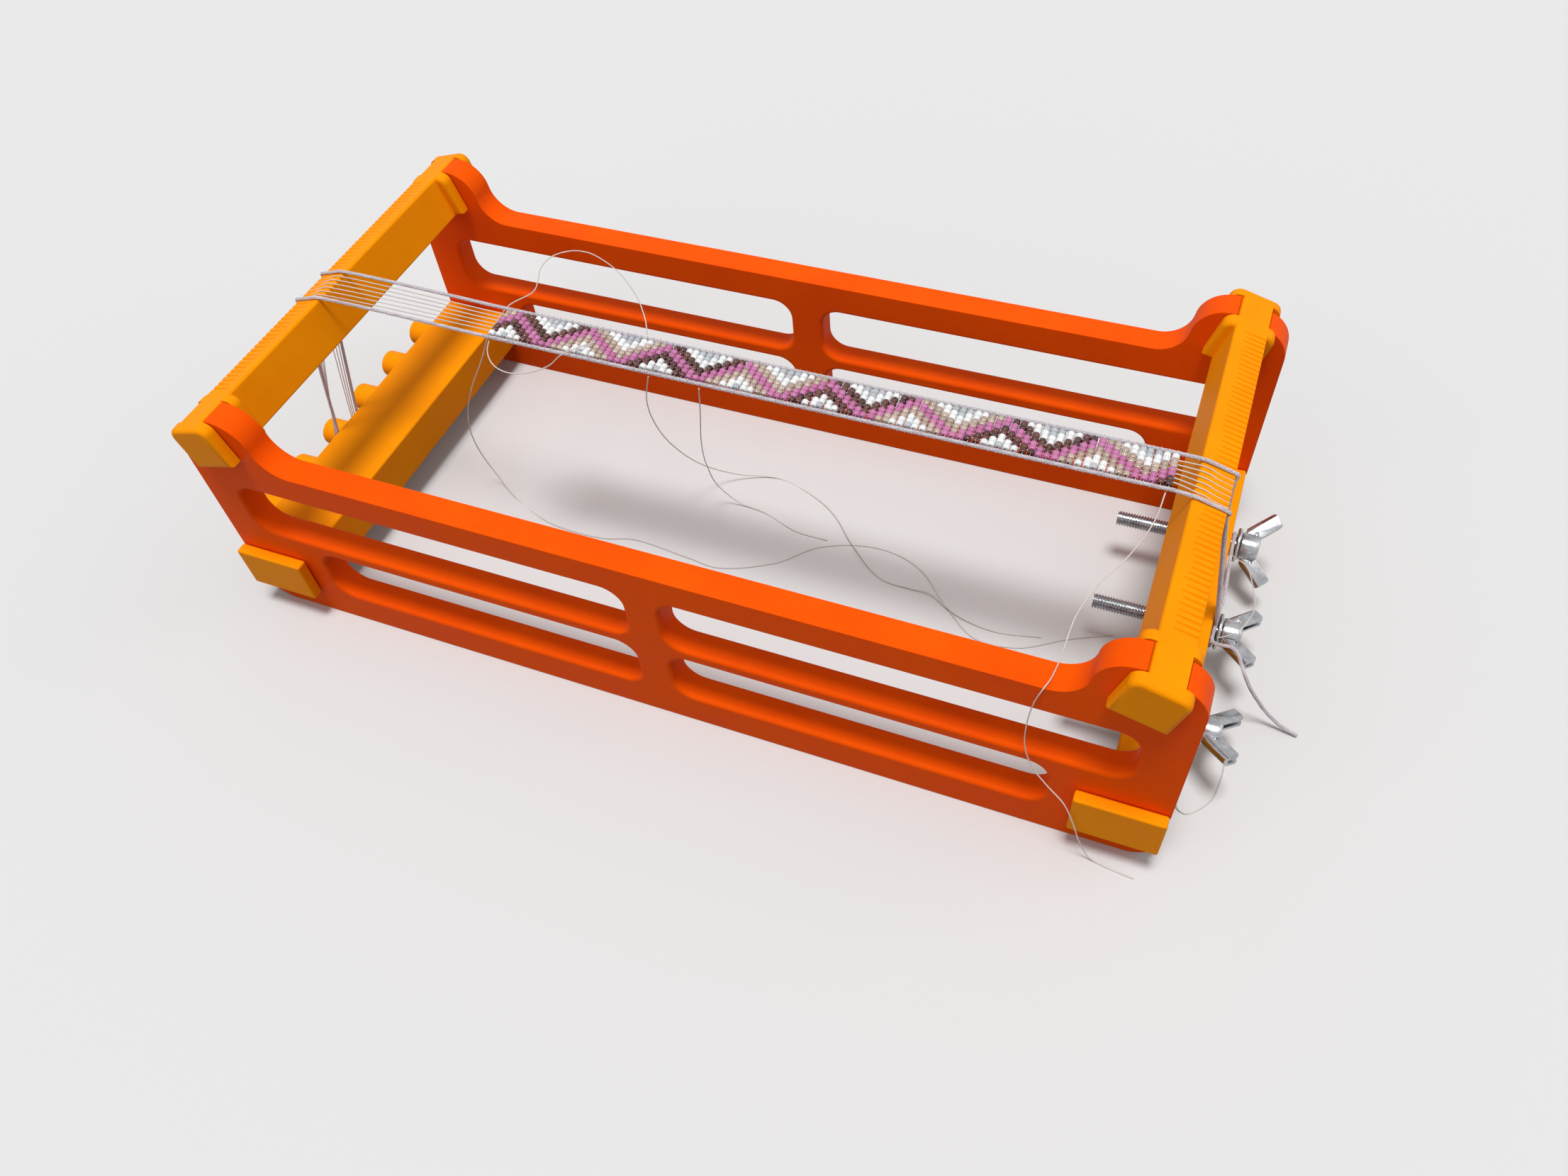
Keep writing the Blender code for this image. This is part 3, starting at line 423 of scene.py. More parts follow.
plate_bm = slab(plate_outline(), INNER_Y, OUTER_Y)
round_rim(plate_bm, lambda edge: len({round(v.co.y, 6) for v in edge.verts}) == 1, PLATE_EDGE, 2)
plate_shape = part_object("plate_shape", plate_bm)
cutters = []
for end, low, high in SLOTS:
    for way in (-1, 1):
        near = POST_WIDTH / 2
        far = HALF_LENGTH - end
        cutters.append(slot_cutter((way * (near + far) / 2, (low + high) / 2),
                                   (far - near) / 2, (high - low) / 2))
combine(plate_shape, cutters, "DIFFERENCE")
for name, turn in (("rear_plate", 0), ("front_plate", math.pi)):
    finished(name + "_printed", plate_shape.data, ORANGE, Matrix.Rotation(turn, 4, "Z"),
             stands_for=(name,))
bpy.data.objects.remove(plate_shape)


# Comb bars

# Two yellow printed bars lie tilted outwards in the plates' ears. Fine grooves for the warp
# deepen towards their outer top edge, and D-shaped flanges grip each plate from both sides.

COMB_HEIGHT = 0.0122
COMB_EDGE = 0.0008
FLANGE_WIDTH = 0.0129
FLANGE_THICK = 0.0031
FLANGE_EDGE = 0.0012
FLANGE_SHOULDER = 0.0027
GROOVE_PITCH = 0.0016
GROOVE_COUNT = 57
GROOVE_HALF_WIDTH = 0.00042
GROOVE_START = 0.00016
GROOVE_DEPTH = 0.00042
GROOVE_RUN = 0.0052
GROOVE_STRAY = 0.00004
NECK_CLEAR = 0.0001
BODY_HALF = INNER_Y - GAP
END_Y = OUTER_Y + GAP + FLANGE_THICK

YELLOW = printed_plastic("yellow_plastic", (0.98, 0.32, 0.001), (0.93, 0.275, 0.001), (0, 0, 1))


def comb_section(half_width, low, high, edge):
    """The bar's section, with its long edges rounded."""
    section = arc((half_width - edge / 2, low + edge / 2), edge / 2, -90, 0, 3)
    section += arc((half_width - edge / 3, high - edge / 3), edge / 3, 0, 90, 3)
    section += arc((-half_width + edge, high - edge), edge, 90, 180, 6)
    return section + arc((-half_width + edge / 2, low + edge / 2), edge / 2, 180, 270, 3)


def flange(low, high, rim):
    """A D-shaped flange with round shoulders, flush with the bar, its rim rounded on one face."""
    half_width = FLANGE_WIDTH / 2
    shoulder_x = half_width - FLANGE_SHOULDER
    shoulder_z = COMB_HEIGHT - FLANGE_SHOULDER
    outline = [(-half_width, 0), (half_width, 0)]
    outline += arc((shoulder_x, shoulder_z), FLANGE_SHOULDER, 0, 90, 9)
    outline += arc((-shoulder_x, shoulder_z), FLANGE_SHOULDER, 90, 180, 9)
    bm = slab(outline, low, high)
    round_rim(bm, lambda edge: all(abs(v.co.y - rim) < 1e-6 for v in edge.verts), FLANGE_EDGE, 4)
    return part_object("flange", bm)


def groove_wedges():
    """Wedges that cut the row of grooves, a little uneven as a print leaves them."""
    bm = bmesh.new()
    for index in range(GROOVE_COUNT):
        y = (index - (GROOVE_COUNT - 1) / 2) * GROOVE_PITCH
        y += random.uniform(-GROOVE_STRAY, GROOVE_STRAY)
        start = COMB_WIDTH / 2 - GROOVE_RUN * random.uniform(0.9, 1.08)
        rings = []
        for x, wide, deep in ((start, 0.32, GROOVE_START), (COMB_WIDTH / 2 + GAP, 1, GROOVE_DEPTH)):
            verts = []
            for side, down in ((-1, -GAP), (-1, 0), (-0.3, deep), (0.3, deep), (1, 0), (1, -GAP)):
                place = (x, y + side * wide * GROOVE_HALF_WIDTH, COMB_HEIGHT - down)
                verts.append(bm.verts.new(place))
            bm.faces.new(verts)
            rings.append([bm.edges.get((verts[at - 1], verts[at])) for at in range(6)])
        bmesh.ops.bridge_loops(bm, edges=rings[0] + rings[1])
    bmesh.ops.recalc_face_normals(bm, faces=bm.faces)
    bmesh.ops.triangulate(bm, faces=bm.faces)
    return part_object("groove_wedges", bm)


comb_bm = slab(comb_section(COMB_WIDTH / 2, 0, COMB_HEIGHT, COMB_EDGE),
               -BODY_HALF + FLANGE_THICK / 2, BODY_HALF - FLANGE_THICK / 2)
comb_shape = combine(part_object("comb_shape", comb_bm), [groove_wedges()], "DIFFERENCE")
neck_section = comb_section(COMB_WIDTH / 2 - NECK_CLEAR, NECK_LIFT, COMB_HEIGHT, COMB_EDGE)
joined = []
for side in (-1, 1):
    ends = sorted((side * (END_Y - FLANGE_THICK / 2), side * (BODY_HALF - FLANGE_THICK * 0.6)))
    joined.append(part_object("neck", slab(neck_section, *ends)))
    inner = sorted((side * BODY_HALF, side * (BODY_HALF - FLANGE_THICK)))
    outer = sorted((side * END_Y, side * (OUTER_Y + GAP)))
    joined.append(flange(*inner, side * (BODY_HALF - FLANGE_THICK)))
    joined.append(flange(*outer, side * END_Y))
combine(comb_shape, joined, "UNION")
for name, side in (("left_comb_bar", -1), ("right_comb_bar", 1)):
    turn = Matrix.Rotation(0 if side > 0 else math.pi, 4, "Z") @ Matrix.Rotation(COMB_TILT, 4, "Y")
    finished(name + "_printed", comb_shape.data, YELLOW,
             Matrix.Translation((side * COMB_X, 0, COMB_BASE)) @ turn,
             stands_for=(name,), crease=30)
bpy.data.objects.remove(comb_shape)


# Peg bar and tension bar

# Two flat yellow bars lie low in the plates' ends, and square blocks outside the plates hold
# them. The left one carries six round pegs; the right one is bored for the wing screws, and
# between the plates it is narrower than its blocks.

BLOCK_EDGE = 0.0006
LOW_NECK_LIP = 0.0005
TENSION_WIDTH = 0.0139
PEG_COUNT = 6
PEG_PITCH = 0.0157
PEG_RADIUS = 0.0039
PEG_LENGTH = 0.0088
PEG_EDGE = 0.0009
SCREW_COUNT = 3
SCREW_PITCH_Y = 0.0289
SCREW_RADIUS = 0.00195
NUT_FLATS = 0.0070
NUT_THICK = 0.0032


def block(low, high, edge=0.0):
    """A block between two corners with rounded edges."""
    bm = bmesh.new()
    bmesh.ops.create_cube(bm, size=1)
    bmesh.ops.scale(bm, vec=Vector(high) - Vector(low), verts=bm.verts)
    bmesh.ops.translate(bm, vec=(Vector(high) + Vector(low)) / 2, verts=bm.verts)
    if edge:
        round_rim(bm, lambda item: True, edge, 4)
    return part_object("block", bm)


def rod(radius, low, high, y=0.0, z=0.0, sides=32, edge=0.0):
    """A rod along X whose far rim may be rounded."""
    bm = bmesh.new()
    place = Matrix.Translation(((low + high) / 2, y, z)) @ Matrix.Rotation(math.pi / 2, 4, "Y")
    bmesh.ops.create_cone(bm, cap_ends=True, segments=sides, radius1=radius, radius2=radius,
                          depth=high - low, matrix=place)
    if edge:
        round_rim(bm, lambda item: all(abs(v.co.x - high) < 1e-6 for v in item.verts), edge, 4)
    return part_object("rod", bm)


def hexagon(flats, low, high, y=0.0, z=0.0):
    """A six-sided prism along X with two corners up and down."""
    made = rod(flats / math.sqrt(3), low, high, sides=6)
    made.data.transform(Matrix.Translation((0, y, z)) @ Matrix.Rotation(math.pi / 6, 4, "X"))
    return made


def peg_y(index):
    """Depth of a peg, counted from the rear."""
    return ((PEG_COUNT - 1) / 2 - index) * PEG_PITCH


def screw_y(index):
    """Depth of a wing screw, counted from the rear."""
    return ((SCREW_COUNT - 1) / 2 - index) * SCREW_PITCH_Y


def low_bar(width):
    """A flat bar in its own frame: middle of its base at the origin, outer side at +X."""
    half = LOW_BAR_WIDTH / 2
    body = block((half - width, -BODY_HALF, 0), (half, BODY_HALF, LOW_BAR_HEIGHT), BLOCK_EDGE)
    tools = []
    for side in (-1, 1):
        low, high = sorted((side * (BODY_HALF - LOW_NECK_LIP), side * (END_Y - FLANGE_THICK / 2)))
        tools.append(block((-half + LOW_NECK_STEP, low, LOW_NECK_STEP),
                           (half - LOW_NECK_STEP, high, LOW_BAR_HEIGHT - LOW_NECK_STEP)))
        low, high = sorted((side * END_Y, side * (OUTER_Y + GAP)))
        tools.append(block((-half, low, 0), (half, high, LOW_BAR_HEIGHT), BLOCK_EDGE))
    return combine(body, tools, "UNION")


peg_bar = low_bar(LOW_BAR_WIDTH)
root = LOW_BAR_WIDTH / 2 - PEG_LENGTH / 4
combine(peg_bar, [rod(PEG_RADIUS, root, LOW_BAR_WIDTH / 2 + PEG_LENGTH, -peg_y(index),
                      LOW_BAR_HEIGHT / 2, edge=PEG_EDGE) for index in range(PEG_COUNT)], "UNION")
finished("peg_bar_printed", peg_bar.data, YELLOW,
         Matrix.Translation((-LOW_BAR_X, 0, LOW_BAR_BASE)) @ Matrix.Rotation(math.pi, 4, "Z"),
         stands_for=("peg_bar",))
bpy.data.objects.remove(peg_bar)

tension_bar = low_bar(TENSION_WIDTH)
outer = LOW_BAR_WIDTH / 2
inner = outer - TENSION_WIDTH
holes = []
for index in range(SCREW_COUNT):
    holes.append(rod(SCREW_RADIUS + GAP, inner - GAP, outer + GAP, screw_y(index),
                     LOW_BAR_HEIGHT / 2))
    holes.append(hexagon(NUT_FLATS + 2 * GAP, inner - GAP, inner + NUT_THICK + GAP,
                         screw_y(index), LOW_BAR_HEIGHT / 2))
combine(tension_bar, holes, "DIFFERENCE")
finished("tension_bar_printed", tension_bar.data, YELLOW,
         Matrix.Translation((LOW_BAR_X, 0, LOW_BAR_BASE)), stands_for=("tension_bar",))
bpy.data.objects.remove(tension_bar)


# Nuts and washers

# A zinc-plated hex nut sits in a pocket behind each screw, with its corners chamfered. A flat
# punched washer lies between each wing screw's hub and the bar.

NUT_CHAMFER = 0.0006
NUT_FACE_INSET = 0.0001
NUT_CORE = 0.0009
WASHER_RADIUS = 0.0044
WASHER_THICK = 0.0008
WASHER_EDGE = 0.00018
CORD_RADIUS = 0.0005
SCREW_Z = LOW_BAR_BASE + LOW_BAR_HEIGHT / 2
LOW_BAR_FACE = LOW_BAR_X + LOW_BAR_WIDTH / 2
WASHER_X = LOW_BAR_FACE + 2 * CORD_RADIUS + 2 * GAP


def zinc_surface():
    """Pressed zinc plate: fine scratches, dull patches and shallow dents."""
    group, inside, where = new_group("zinc_surface", {"Bright": "Color", "Dull": "Color"})
    drawn_out = node(group, "ShaderNodeMapping", {"Vector": where, "Scale": (1.0, 6.0, 1.0)})[0]
    scratches = speckle(group, drawn_out, 900.0, detail=5.0, rough=0.75)
    patches = speckle(group, where, 420.0)
    dents = speckle(group, where, 500.0, detail=1.0, rough=0.4)
    share = spread(group, mixed(group, patches, scratches, 0.5), 0.55, 0.95)
    return put_out(group, Colour=blend_colours(group, share, inside["Bright"], inside["Dull"]),
                   Roughness=spread(group, scratches, 0.3, 0.8, 0.16, 0.36),
                   Height=mixed(group, dents, scratches, 0.12))


STEEL = dressed("zinc_steel", zinc_surface(),
                {"Bright": (0.55, 0.56, 0.58, 1), "Dull": (0.36, 0.37, 0.39, 1)},
                0.00008, bump_strength=0.6, Metallic=1.0)


def turned(profile, steps):
    """A bmesh of a closed XR profile spun round the X axis."""
    bm = bmesh.new()
    verts = [bm.verts.new((x, 0, r)) for x, r in profile]
    edges = [bm.edges.new((verts[index - 1], verts[index])) for index in range(len(verts))]
    bmesh.ops.spin(bm, geom=verts + edges, cent=(0, 0, 0), axis=(1, 0, 0), dvec=(0, 0, 0),
                   angle=2 * math.pi, steps=steps, use_merge=True)
    bmesh.ops.remove_doubles(bm, verts=bm.verts, dist=1e-6)
    bmesh.ops.recalc_face_normals(bm, faces=bm.faces)
    return bm


nut = hexagon(NUT_FLATS, 0, NUT_THICK)
corner = NUT_FLATS / math.sqrt(3)
face = NUT_FLATS / 2 - NUT_FACE_INSET
bevelled = [(0, NUT_CORE), (0, face), (NUT_CHAMFER, corner), (NUT_THICK - NUT_CHAMFER, corner),
            (NUT_THICK, face), (NUT_THICK, NUT_CORE)]
combine(nut, [part_object("nut_chamfer", turned(bevelled, 48))], "INTERSECT")
combine(nut, [rod(SCREW_RADIUS + GAP / 2, -GAP, NUT_THICK + GAP)], "DIFFERENCE")
edge = WASHER_EDGE
inner = SCREW_RADIUS + GAP
washer_profile = [(edge, inner), (0, inner + edge), (0, WASHER_RADIUS - edge),
                  (edge, WASHER_RADIUS)]
washer_profile += [(WASHER_THICK - x, r) for x, r in reversed(washer_profile)]
washer = part_object("washer", turned(washer_profile, 48))
BODIES = ("rear", "middle", "front")
for index, body in enumerate(BODIES):
    finished(f"hex_nut_{index + 1}", nut.data, STEEL,
             Matrix.Translation((LOW_BAR_FACE - TENSION_WIDTH, screw_y(index), SCREW_Z)),
             stands_for=(f"nut_{index + 1}",), crease=25, even=False)
    finished(f"flat_washer_{index + 1}", washer.data, STEEL,
             Matrix.Translation((WASHER_X, screw_y(index), SCREW_Z)), body=f"{body}_washer",
             stands_for=(f"washer_{index + 1}",), crease=50, even=False)
bpy.data.objects.remove(nut)
bpy.data.objects.remove(washer)


# Wing screws

# Three M4 wing screws hold the warp's knot. The threaded shank is pressed into a cup-shaped
# hub, and both wings are folded from sheet steel, hollow and closed towards the bar.

SCREW_LENGTH = 0.0310
THREAD_PITCH = 0.0007
THREAD_DEPTH = 0.00038
HUB_RADIUS = 0.0036
HUB_LENGTH = 0.0045
HUB_ROUND = 0.0009
HUB_FOOT_ROUND = 0.0003
HUB_HOLE = 0.0005
WING_LEAN = math.radians(45)
WING_LIFT = 0.0008
WING_START = 0.0046
WING_LENGTH = 0.0076
WING_DEPTH = 0.0040
WING_CORNER = 0.0008
WING_WIDTH = 0.0026
WING_SHEET = 0.0008
WING_EDGE = 0.0002
FOLD_SLACK = 0.00001
DENT_ALONG = 0.0011
DENT_RADIUS = 0.0009
DENT_LIFT = 0.78
SCREW_TURNS = (34, -8, -19)
HUB_X = WASHER_X + WASHER_THICK + GAP


def threaded_shank():
    """A rolled thread: a ridge one pitch wide swept as a screw and cut off square."""
    steps = 28
    turns = int(SCREW_LENGTH / THREAD_PITCH) + 7
    start = -SCREW_LENGTH - 1.5 * THREAD_PITCH
    valley = SCREW_RADIUS - THREAD_DEPTH
    shares = ((0, 0), (0.12, 0), (0.44, 1), (0.56, 1), (0.88, 0), (1, 0))
    bm = bmesh.new()
    verts = []
    for share, rise in shares:
        verts.append(bm.verts.new((start + share * THREAD_PITCH, 0, valley + rise * THREAD_DEPTH)))
    edges = [bm.edges.new(pair) for pair in zip(verts, verts[1:])]
    bmesh.ops.spin(bm, geom=verts + edges, cent=(0, 0, 0), axis=(1, 0, 0),
                   dvec=(THREAD_PITCH / steps, 0, 0), angle=2 * math.pi * turns,
                   steps=steps * turns, use_merge=False)
    bmesh.ops.remove_doubles(bm, verts=bm.verts, dist=2e-6)
    for x, outwards in ((-SCREW_LENGTH, -1), (HUB_LENGTH / 2, 1)):
        geom = bm.verts[:] + bm.edges[:] + bm.faces[:]
        bmesh.ops.bisect_plane(bm, geom=geom, plane_co=(x, 0, 0), plane_no=(outwards, 0, 0),
                               clear_outer=True)
        rim = [item for item in bm.edges if item.is_boundary
               and all(abs(v.co.x - x) < 1e-6 for v in item.verts)]
        bmesh.ops.contextual_create(bm, geom=rim)
    bmesh.ops.recalc_face_normals(bm, faces=bm.faces)
    return part_object("wing_screw", bm)


def wing_point(along, deep):
    """A point of the wing's plane: along it from its start, and deep from its near edge."""
    return (WING_LIFT + along * math.cos(WING_LEAN) + deep * math.sin(WING_LEAN),
            WING_START + along * math.sin(WING_LEAN) - deep * math.cos(WING_LEAN))


def fold(side, inset, start, far, back):
    """A bent sheet's outline swept along a wing: round towards the bar, straight-sided behind."""
    half = WING_WIDTH / 2 - inset
    section = arc((inset + half, 0), half, 90, 270, 11) + [(back, -half), (back, half)]
    corners = []
    for deep, z in section:
        x, y = wing_point(start, deep)
        corners.append((x, side * y, z))
    way = (far - start) * Vector((math.cos(WING_LEAN), side * math.sin(WING_LEAN), 0))
    return part_object("fold", prism(corners, way))


def wing(side):
    """One wing: a channel of bent sheet that leans outwards, with a dent near its root."""
    far = WING_LENGTH
    deep = WING_DEPTH
    corner = WING_CORNER
    outline = [(HUB_LENGTH / 8, HUB_RADIUS * 0.7), wing_point(0, 0)]
    for across, start in ((corner, -90), (deep - corner, 0)):
        for point in arc((far - corner, across), corner, start, start + 90, 5):
            outline.append(wing_point(*point))
    outline.append(wing_point(0, deep))
    sheet = prism([(x, side * y, -WING_WIDTH / 2) for x, y in outline], (0, 0, WING_WIDTH))
    round_rim(sheet, lambda item: abs(item.verts[0].co.z - item.verts[1].co.z) < 1e-6, WING_EDGE, 2)
    solid = part_object("wing", sheet)
    combine(solid, [fold(side, -FOLD_SLACK, -far, 2 * far, deep + GAP)], "INTERSECT")
    tools = [fold(side, WING_SHEET, 2 * WING_SHEET, 2 * far, deep + GAP)]
    x, y = wing_point(DENT_ALONG, deep * 0.6)
    for face in (-1, 1):
        dent = bmesh.new()
        z = face * (WING_WIDTH / 2 + DENT_RADIUS * DENT_LIFT)
        place = Matrix.Translation((x, side * y, z))
        bmesh.ops.create_icosphere(dent, subdivisions=3, radius=DENT_RADIUS, matrix=place)
        tools.append(part_object("dent", dent))
    return combine(solid, tools, "DIFFERENCE")


screw = threaded_shank()
hub_profile = [(0, HUB_HOLE)]
hub_profile += arc((HUB_FOOT_ROUND, HUB_RADIUS - HUB_FOOT_ROUND), HUB_FOOT_ROUND, 180, 90, 3)
hub_profile += arc((HUB_LENGTH - HUB_ROUND, HUB_RADIUS - HUB_ROUND), HUB_ROUND, 90, 0, 6)
hub = part_object("hub", turned(hub_profile + [(HUB_LENGTH, HUB_HOLE)], 40))
combine(hub, [wing(1), wing(-1)], "UNION")
combine(screw, [hub], "UNION")
for index, (body, turn) in enumerate(zip(BODIES, SCREW_TURNS)):
    place = Matrix.Translation((HUB_X, screw_y(index), SCREW_Z))
    finished(f"steel_wing_screw_{index + 1}", screw.data, STEEL,
             place @ Matrix.Rotation(math.radians(turn), 4, "X"), body=f"{body}_screw",
             stands_for=(f"wing_screw_{index + 1}",), crease=32, even=False)
bpy.data.objects.remove(screw)


# Warp

# One braided grey cord runs from the middle screw along the rear of the beadwork, round a peg
# and back along its front; three thin loops of clear thread lie between the bead rows.

WARP_PEG = 3
BEAD_COLUMNS = 96
BEAD_ROWS = 7
COLUMN_PITCH = 0.00171
BEAD_LENGTH = 0.00132
BAND_TO_COMB = 0.00445
BAND_START_Y = -0.0051
BAND_END_Y = -0.0057
THREAD_RADIUS = 0.00015
THREAD_STEP = 0.0006
THREAD_SINK = 0.0005
CORD_SINK = 0.00012
GATHER_Y = -0.0030
GATHER_DROP = 0.0075
WOUND_RADIUS = 0.0049
KNOT_SPREAD = 0.0016
YARN_RADIUS = 0.00019
YARN_SINK = 1.25
YARN_WAVE = 0.3
BRAID_STEP = 0.000275
BRAID_STEPS = 8
STRAND_STEP = 0.0005
REST_GAP = 0.00002
HANG_OUT = 0.00015
COMB_LEAN = COMB_HEIGHT * math.sin(COMB_TILT)
COMB_FACE_X = COMB_X + COMB_WIDTH / 2 * math.cos(COMB_TILT) + COMB_LEAN
BAND_LENGTH = BEAD_COLUMNS * COLUMN_PITCH
BAND_WIDTH = BEAD_ROWS * BEAD_LENGTH
BAND_END = COMB_X - COMB_WIDTH / 2 * math.cos(COMB_TILT) + COMB_LEAN - BAND_TO_COMB
BAND_START = BAND_END - BAND_LENGTH
BAND_Z = comb_point(1, -COMB_WIDTH / 2, COMB_HEIGHT)[1] + GAP + CORD_RADIUS
BAND_SLOPE = math.atan2(BAND_END_Y - BAND_START_Y, BAND_LENGTH)
EDGE_CORD_Y = BAND_WIDTH / 2 + GAP + CORD_RADIUS
PER_SPAN = 12


def smooth_path(route, step):
    """Points a step apart on a smooth curve through a route."""
    path = [Vector(point) for point in route]
    path = [path[0] * 2 - path[1]] + path + [path[-1] * 2 - path[-2]]
    fine = []
    for index in range(1, len(path) - 2):
        held = path[index - 1:index + 3]
        ends = [0.0]
        for near, far in zip(held, held[1:]):
            ends.append(ends[-1] + max((far - near).length, 1e-9) ** 0.5)
        for part in range(PER_SPAN):
            t = ends[1] + (ends[2] - ends[1]) * part / PER_SPAN
            points = held
            for reach, starts in ((1, (0, 1, 2)), (2, (0, 1)), (1, (1,))):
                points = [near.lerp(far, (t - ends[at]) / (ends[at + reach] - ends[at]))
                          for near, far, at in zip(points, points[1:], starts)]
            fine.append(points[0])
    fine.append(path[-2])
    spans = [(far - near).length for near, far in zip(fine, fine[1:])]
    count = max(2, round(sum(spans) / step))
    even = [fine[0]]
    walked = 0.0
    index = 0
    for part in range(1, count):
        aim = sum(spans) * part / count
        while walked + spans[index] < aim:
            walked += spans[index]
            index += 1
        even.append(fine[index].lerp(fine[index + 1], (aim - walked) / spans[index]))
    return even + [fine[-1]]


def drawn(name, paths, radius, sides, material, stands_for=(), body="loom"):
    """Round strands along paths, swept as one curve and turned into a mesh."""
    curve = bpy.data.curves.new(name, "CURVE")
    curve.dimensions = "3D"
    curve.bevel_depth = radius
    curve.bevel_resolution = sides
    curve.use_fill_caps = True
    for path in paths:
        spline = curve.splines.new("POLY")
        spline.points.add(len(path) - 1)
        for held, point in zip(spline.points, path):
            held.co = (*point, 1)
    source = set_out(name + "_line", curve)
    mesh = baked(source)
    bpy.data.objects.remove(source)
    bm = bmesh.new()
    bm.from_mesh(mesh)
    bmesh.ops.remove_doubles(bm, verts=bm.verts, dist=1e-7)
    bm.to_mesh(mesh)
    bm.free()
    return finished(name, mesh, material, Matrix.Identity(4), body=body,
                    stands_for=stands_for, crease=80, even=False)


def braid(path, radius=CORD_RADIUS):
    """The yarns of a round braid along an even path: four wind each way, over one, under one."""
    normal = Vector((0, 0, 1)).cross(path[1] - path[0])
    if normal.length < 1e-9:
        normal = Vector((1, 0, 0))
    normal.normalize()
    frames = []
    for index, point in enumerate(path):
        ahead = path[min(index + 1, len(path) - 1)] - path[max(index - 1, 0)]
        ahead.normalize()
        normal = (normal - ahead * normal.dot(ahead)).normalized()
        frames.append((point, normal, ahead.cross(normal)))
    yarns = []
    for way in (1, -1):
        for number in range(4):
            yarn = []
            for index, (point, side, up) in enumerate(frames):
                turn = 2 * math.pi * index / BRAID_STEPS
                angle = way * turn + number * math.pi / 2
                out = radius - YARN_RADIUS * (YARN_SINK - YARN_WAVE * way * math.cos(4 * turn))
                yarn.append(point + side * out * math.cos(angle) + up * out * math.sin(angle))
            yarns.append(yarn)
    return yarns + [path]


def fibre_surface():
    """Spun fibre: pale and dark flecks along the yarn and a fuzzy height."""
    group, inside, where = new_group("fibre_surface", {"Pale": "Color", "Dark": "Color"})
    flecks = speckle(group, where, 3200.0, rough=0.7)
    tufts = speckle(group, where, 160.0, detail=2.0)
    share = spread(group, mixed(group, flecks, tufts, 0.5), 0.5, 1.0)
    return put_out(group, Colour=blend_colours(group, share, inside["Dark"], inside["Pale"]),
                   Height=flecks)


FIBRE = fibre_surface()


def fibre(name, pale, dark, **values):
    """A cord or thread of spun fibre."""
    return dressed(name, FIBRE, {"Pale": (*pale, 1), "Dark": (*dark, 1)}, 0.00004, **values)


CORD = fibre("grey_braid", (0.66, 0.62, 0.66), (0.43, 0.39, 0.43), Roughness=0.55,
             Sheen_Weight=0.3)
CLEAR = fibre("clear_thread", (0.88, 0.84, 0.81), (0.68, 0.63, 0.60), Roughness=0.3,
              Sheen_Weight=0.1, Transmission_Weight=0.25)


def beside_band(x, across):
    """A point at a distance from the band's middle line."""
    return x, BAND_START_Y + (x - BAND_START) * math.tan(BAND_SLOPE) + across, BAND_Z


def over_comb(side, groove, radius):
    """A strand's points from a comb bar's inner top edge, down its groove, to the outer side."""
    half = COMB_WIDTH / 2
    rest = radius + REST_GAP
    sink = THREAD_SINK if radius < CORD_RADIUS else CORD_SINK
    bends = ((-half + COMB_EDGE, rest), (-half + 3 * COMB_EDGE, rest), (0, rest - sink * 0.5),
             (half - COMB_EDGE, rest - sink), (half + 0.7 * rest, 0.7 * rest - sink),
             (half + rest, -COMB_EDGE), (half + rest + HANG_OUT, -2.5 * COMB_EDGE))
    points = []
    for across, up in bends:
        x, z = comb_point(side, across, COMB_HEIGHT + up)
        points.append((x, groove * GROOVE_PITCH, z))
    return points


def round_peg(x, radius):
    """A strand's points down the rear of the warp's peg, under it and up its front."""
    middle = (peg_y(WARP_PEG), SCREW_Z)
    return [(x, y, z) for y, z in arc(middle, PEG_RADIUS + GAP + radius, 11.25, -191.25, 8)]


def strand_left(grooves, offset, radius, layer):
    """A strand from the band's left end, over the comb, round the peg and back to the band."""
    x = BAND_START - GAP
    x_peg = -LOW_BAR_FACE - 2 * GAP - CORD_RADIUS - layer
    return ([beside_band(x, offset)] + over_comb(-1, grooves[0], radius) + round_peg(x_peg, radius)
            + over_comb(-1, grooves[1], radius)[::-1] + [beside_band(x, -offset)])


def strand_right(groove, offset, radius, place_y, place_x):
    """A strand from the band's right end, over the comb and down to the knot."""
    top = over_comb(1, groove, radius)
    knot_top = SCREW_Z + math.sqrt((WOUND_RADIUS + GAP) ** 2 - place_y ** 2)
    low = Vector((LOW_BAR_FACE + GAP + CORD_RADIUS + place_x, place_y, knot_top))
    high = Vector((COMB_FACE_X + CORD_RADIUS + place_x, GATHER_Y + place_y,
                   top[-1][2] - GATHER_DROP))
    for index, share in ((-2, 0.08), (-1, 0.22)):
        x_top, y_top, z_top = top[index]
        top[index] = (x_top, y_top + share * (high.y - y_top), z_top)
    return [beside_band(BAND_END + GAP, offset)] + top + [high, high.lerp(low, 0.5), low]


def along_band(across):
    """A strand's points beside the band, from its right end to its left end."""
    return [beside_band(BAND_START + BAND_LENGTH * share, across)
            for share in (0.99, 0.75, 0.5, 0.25, 0.01)]


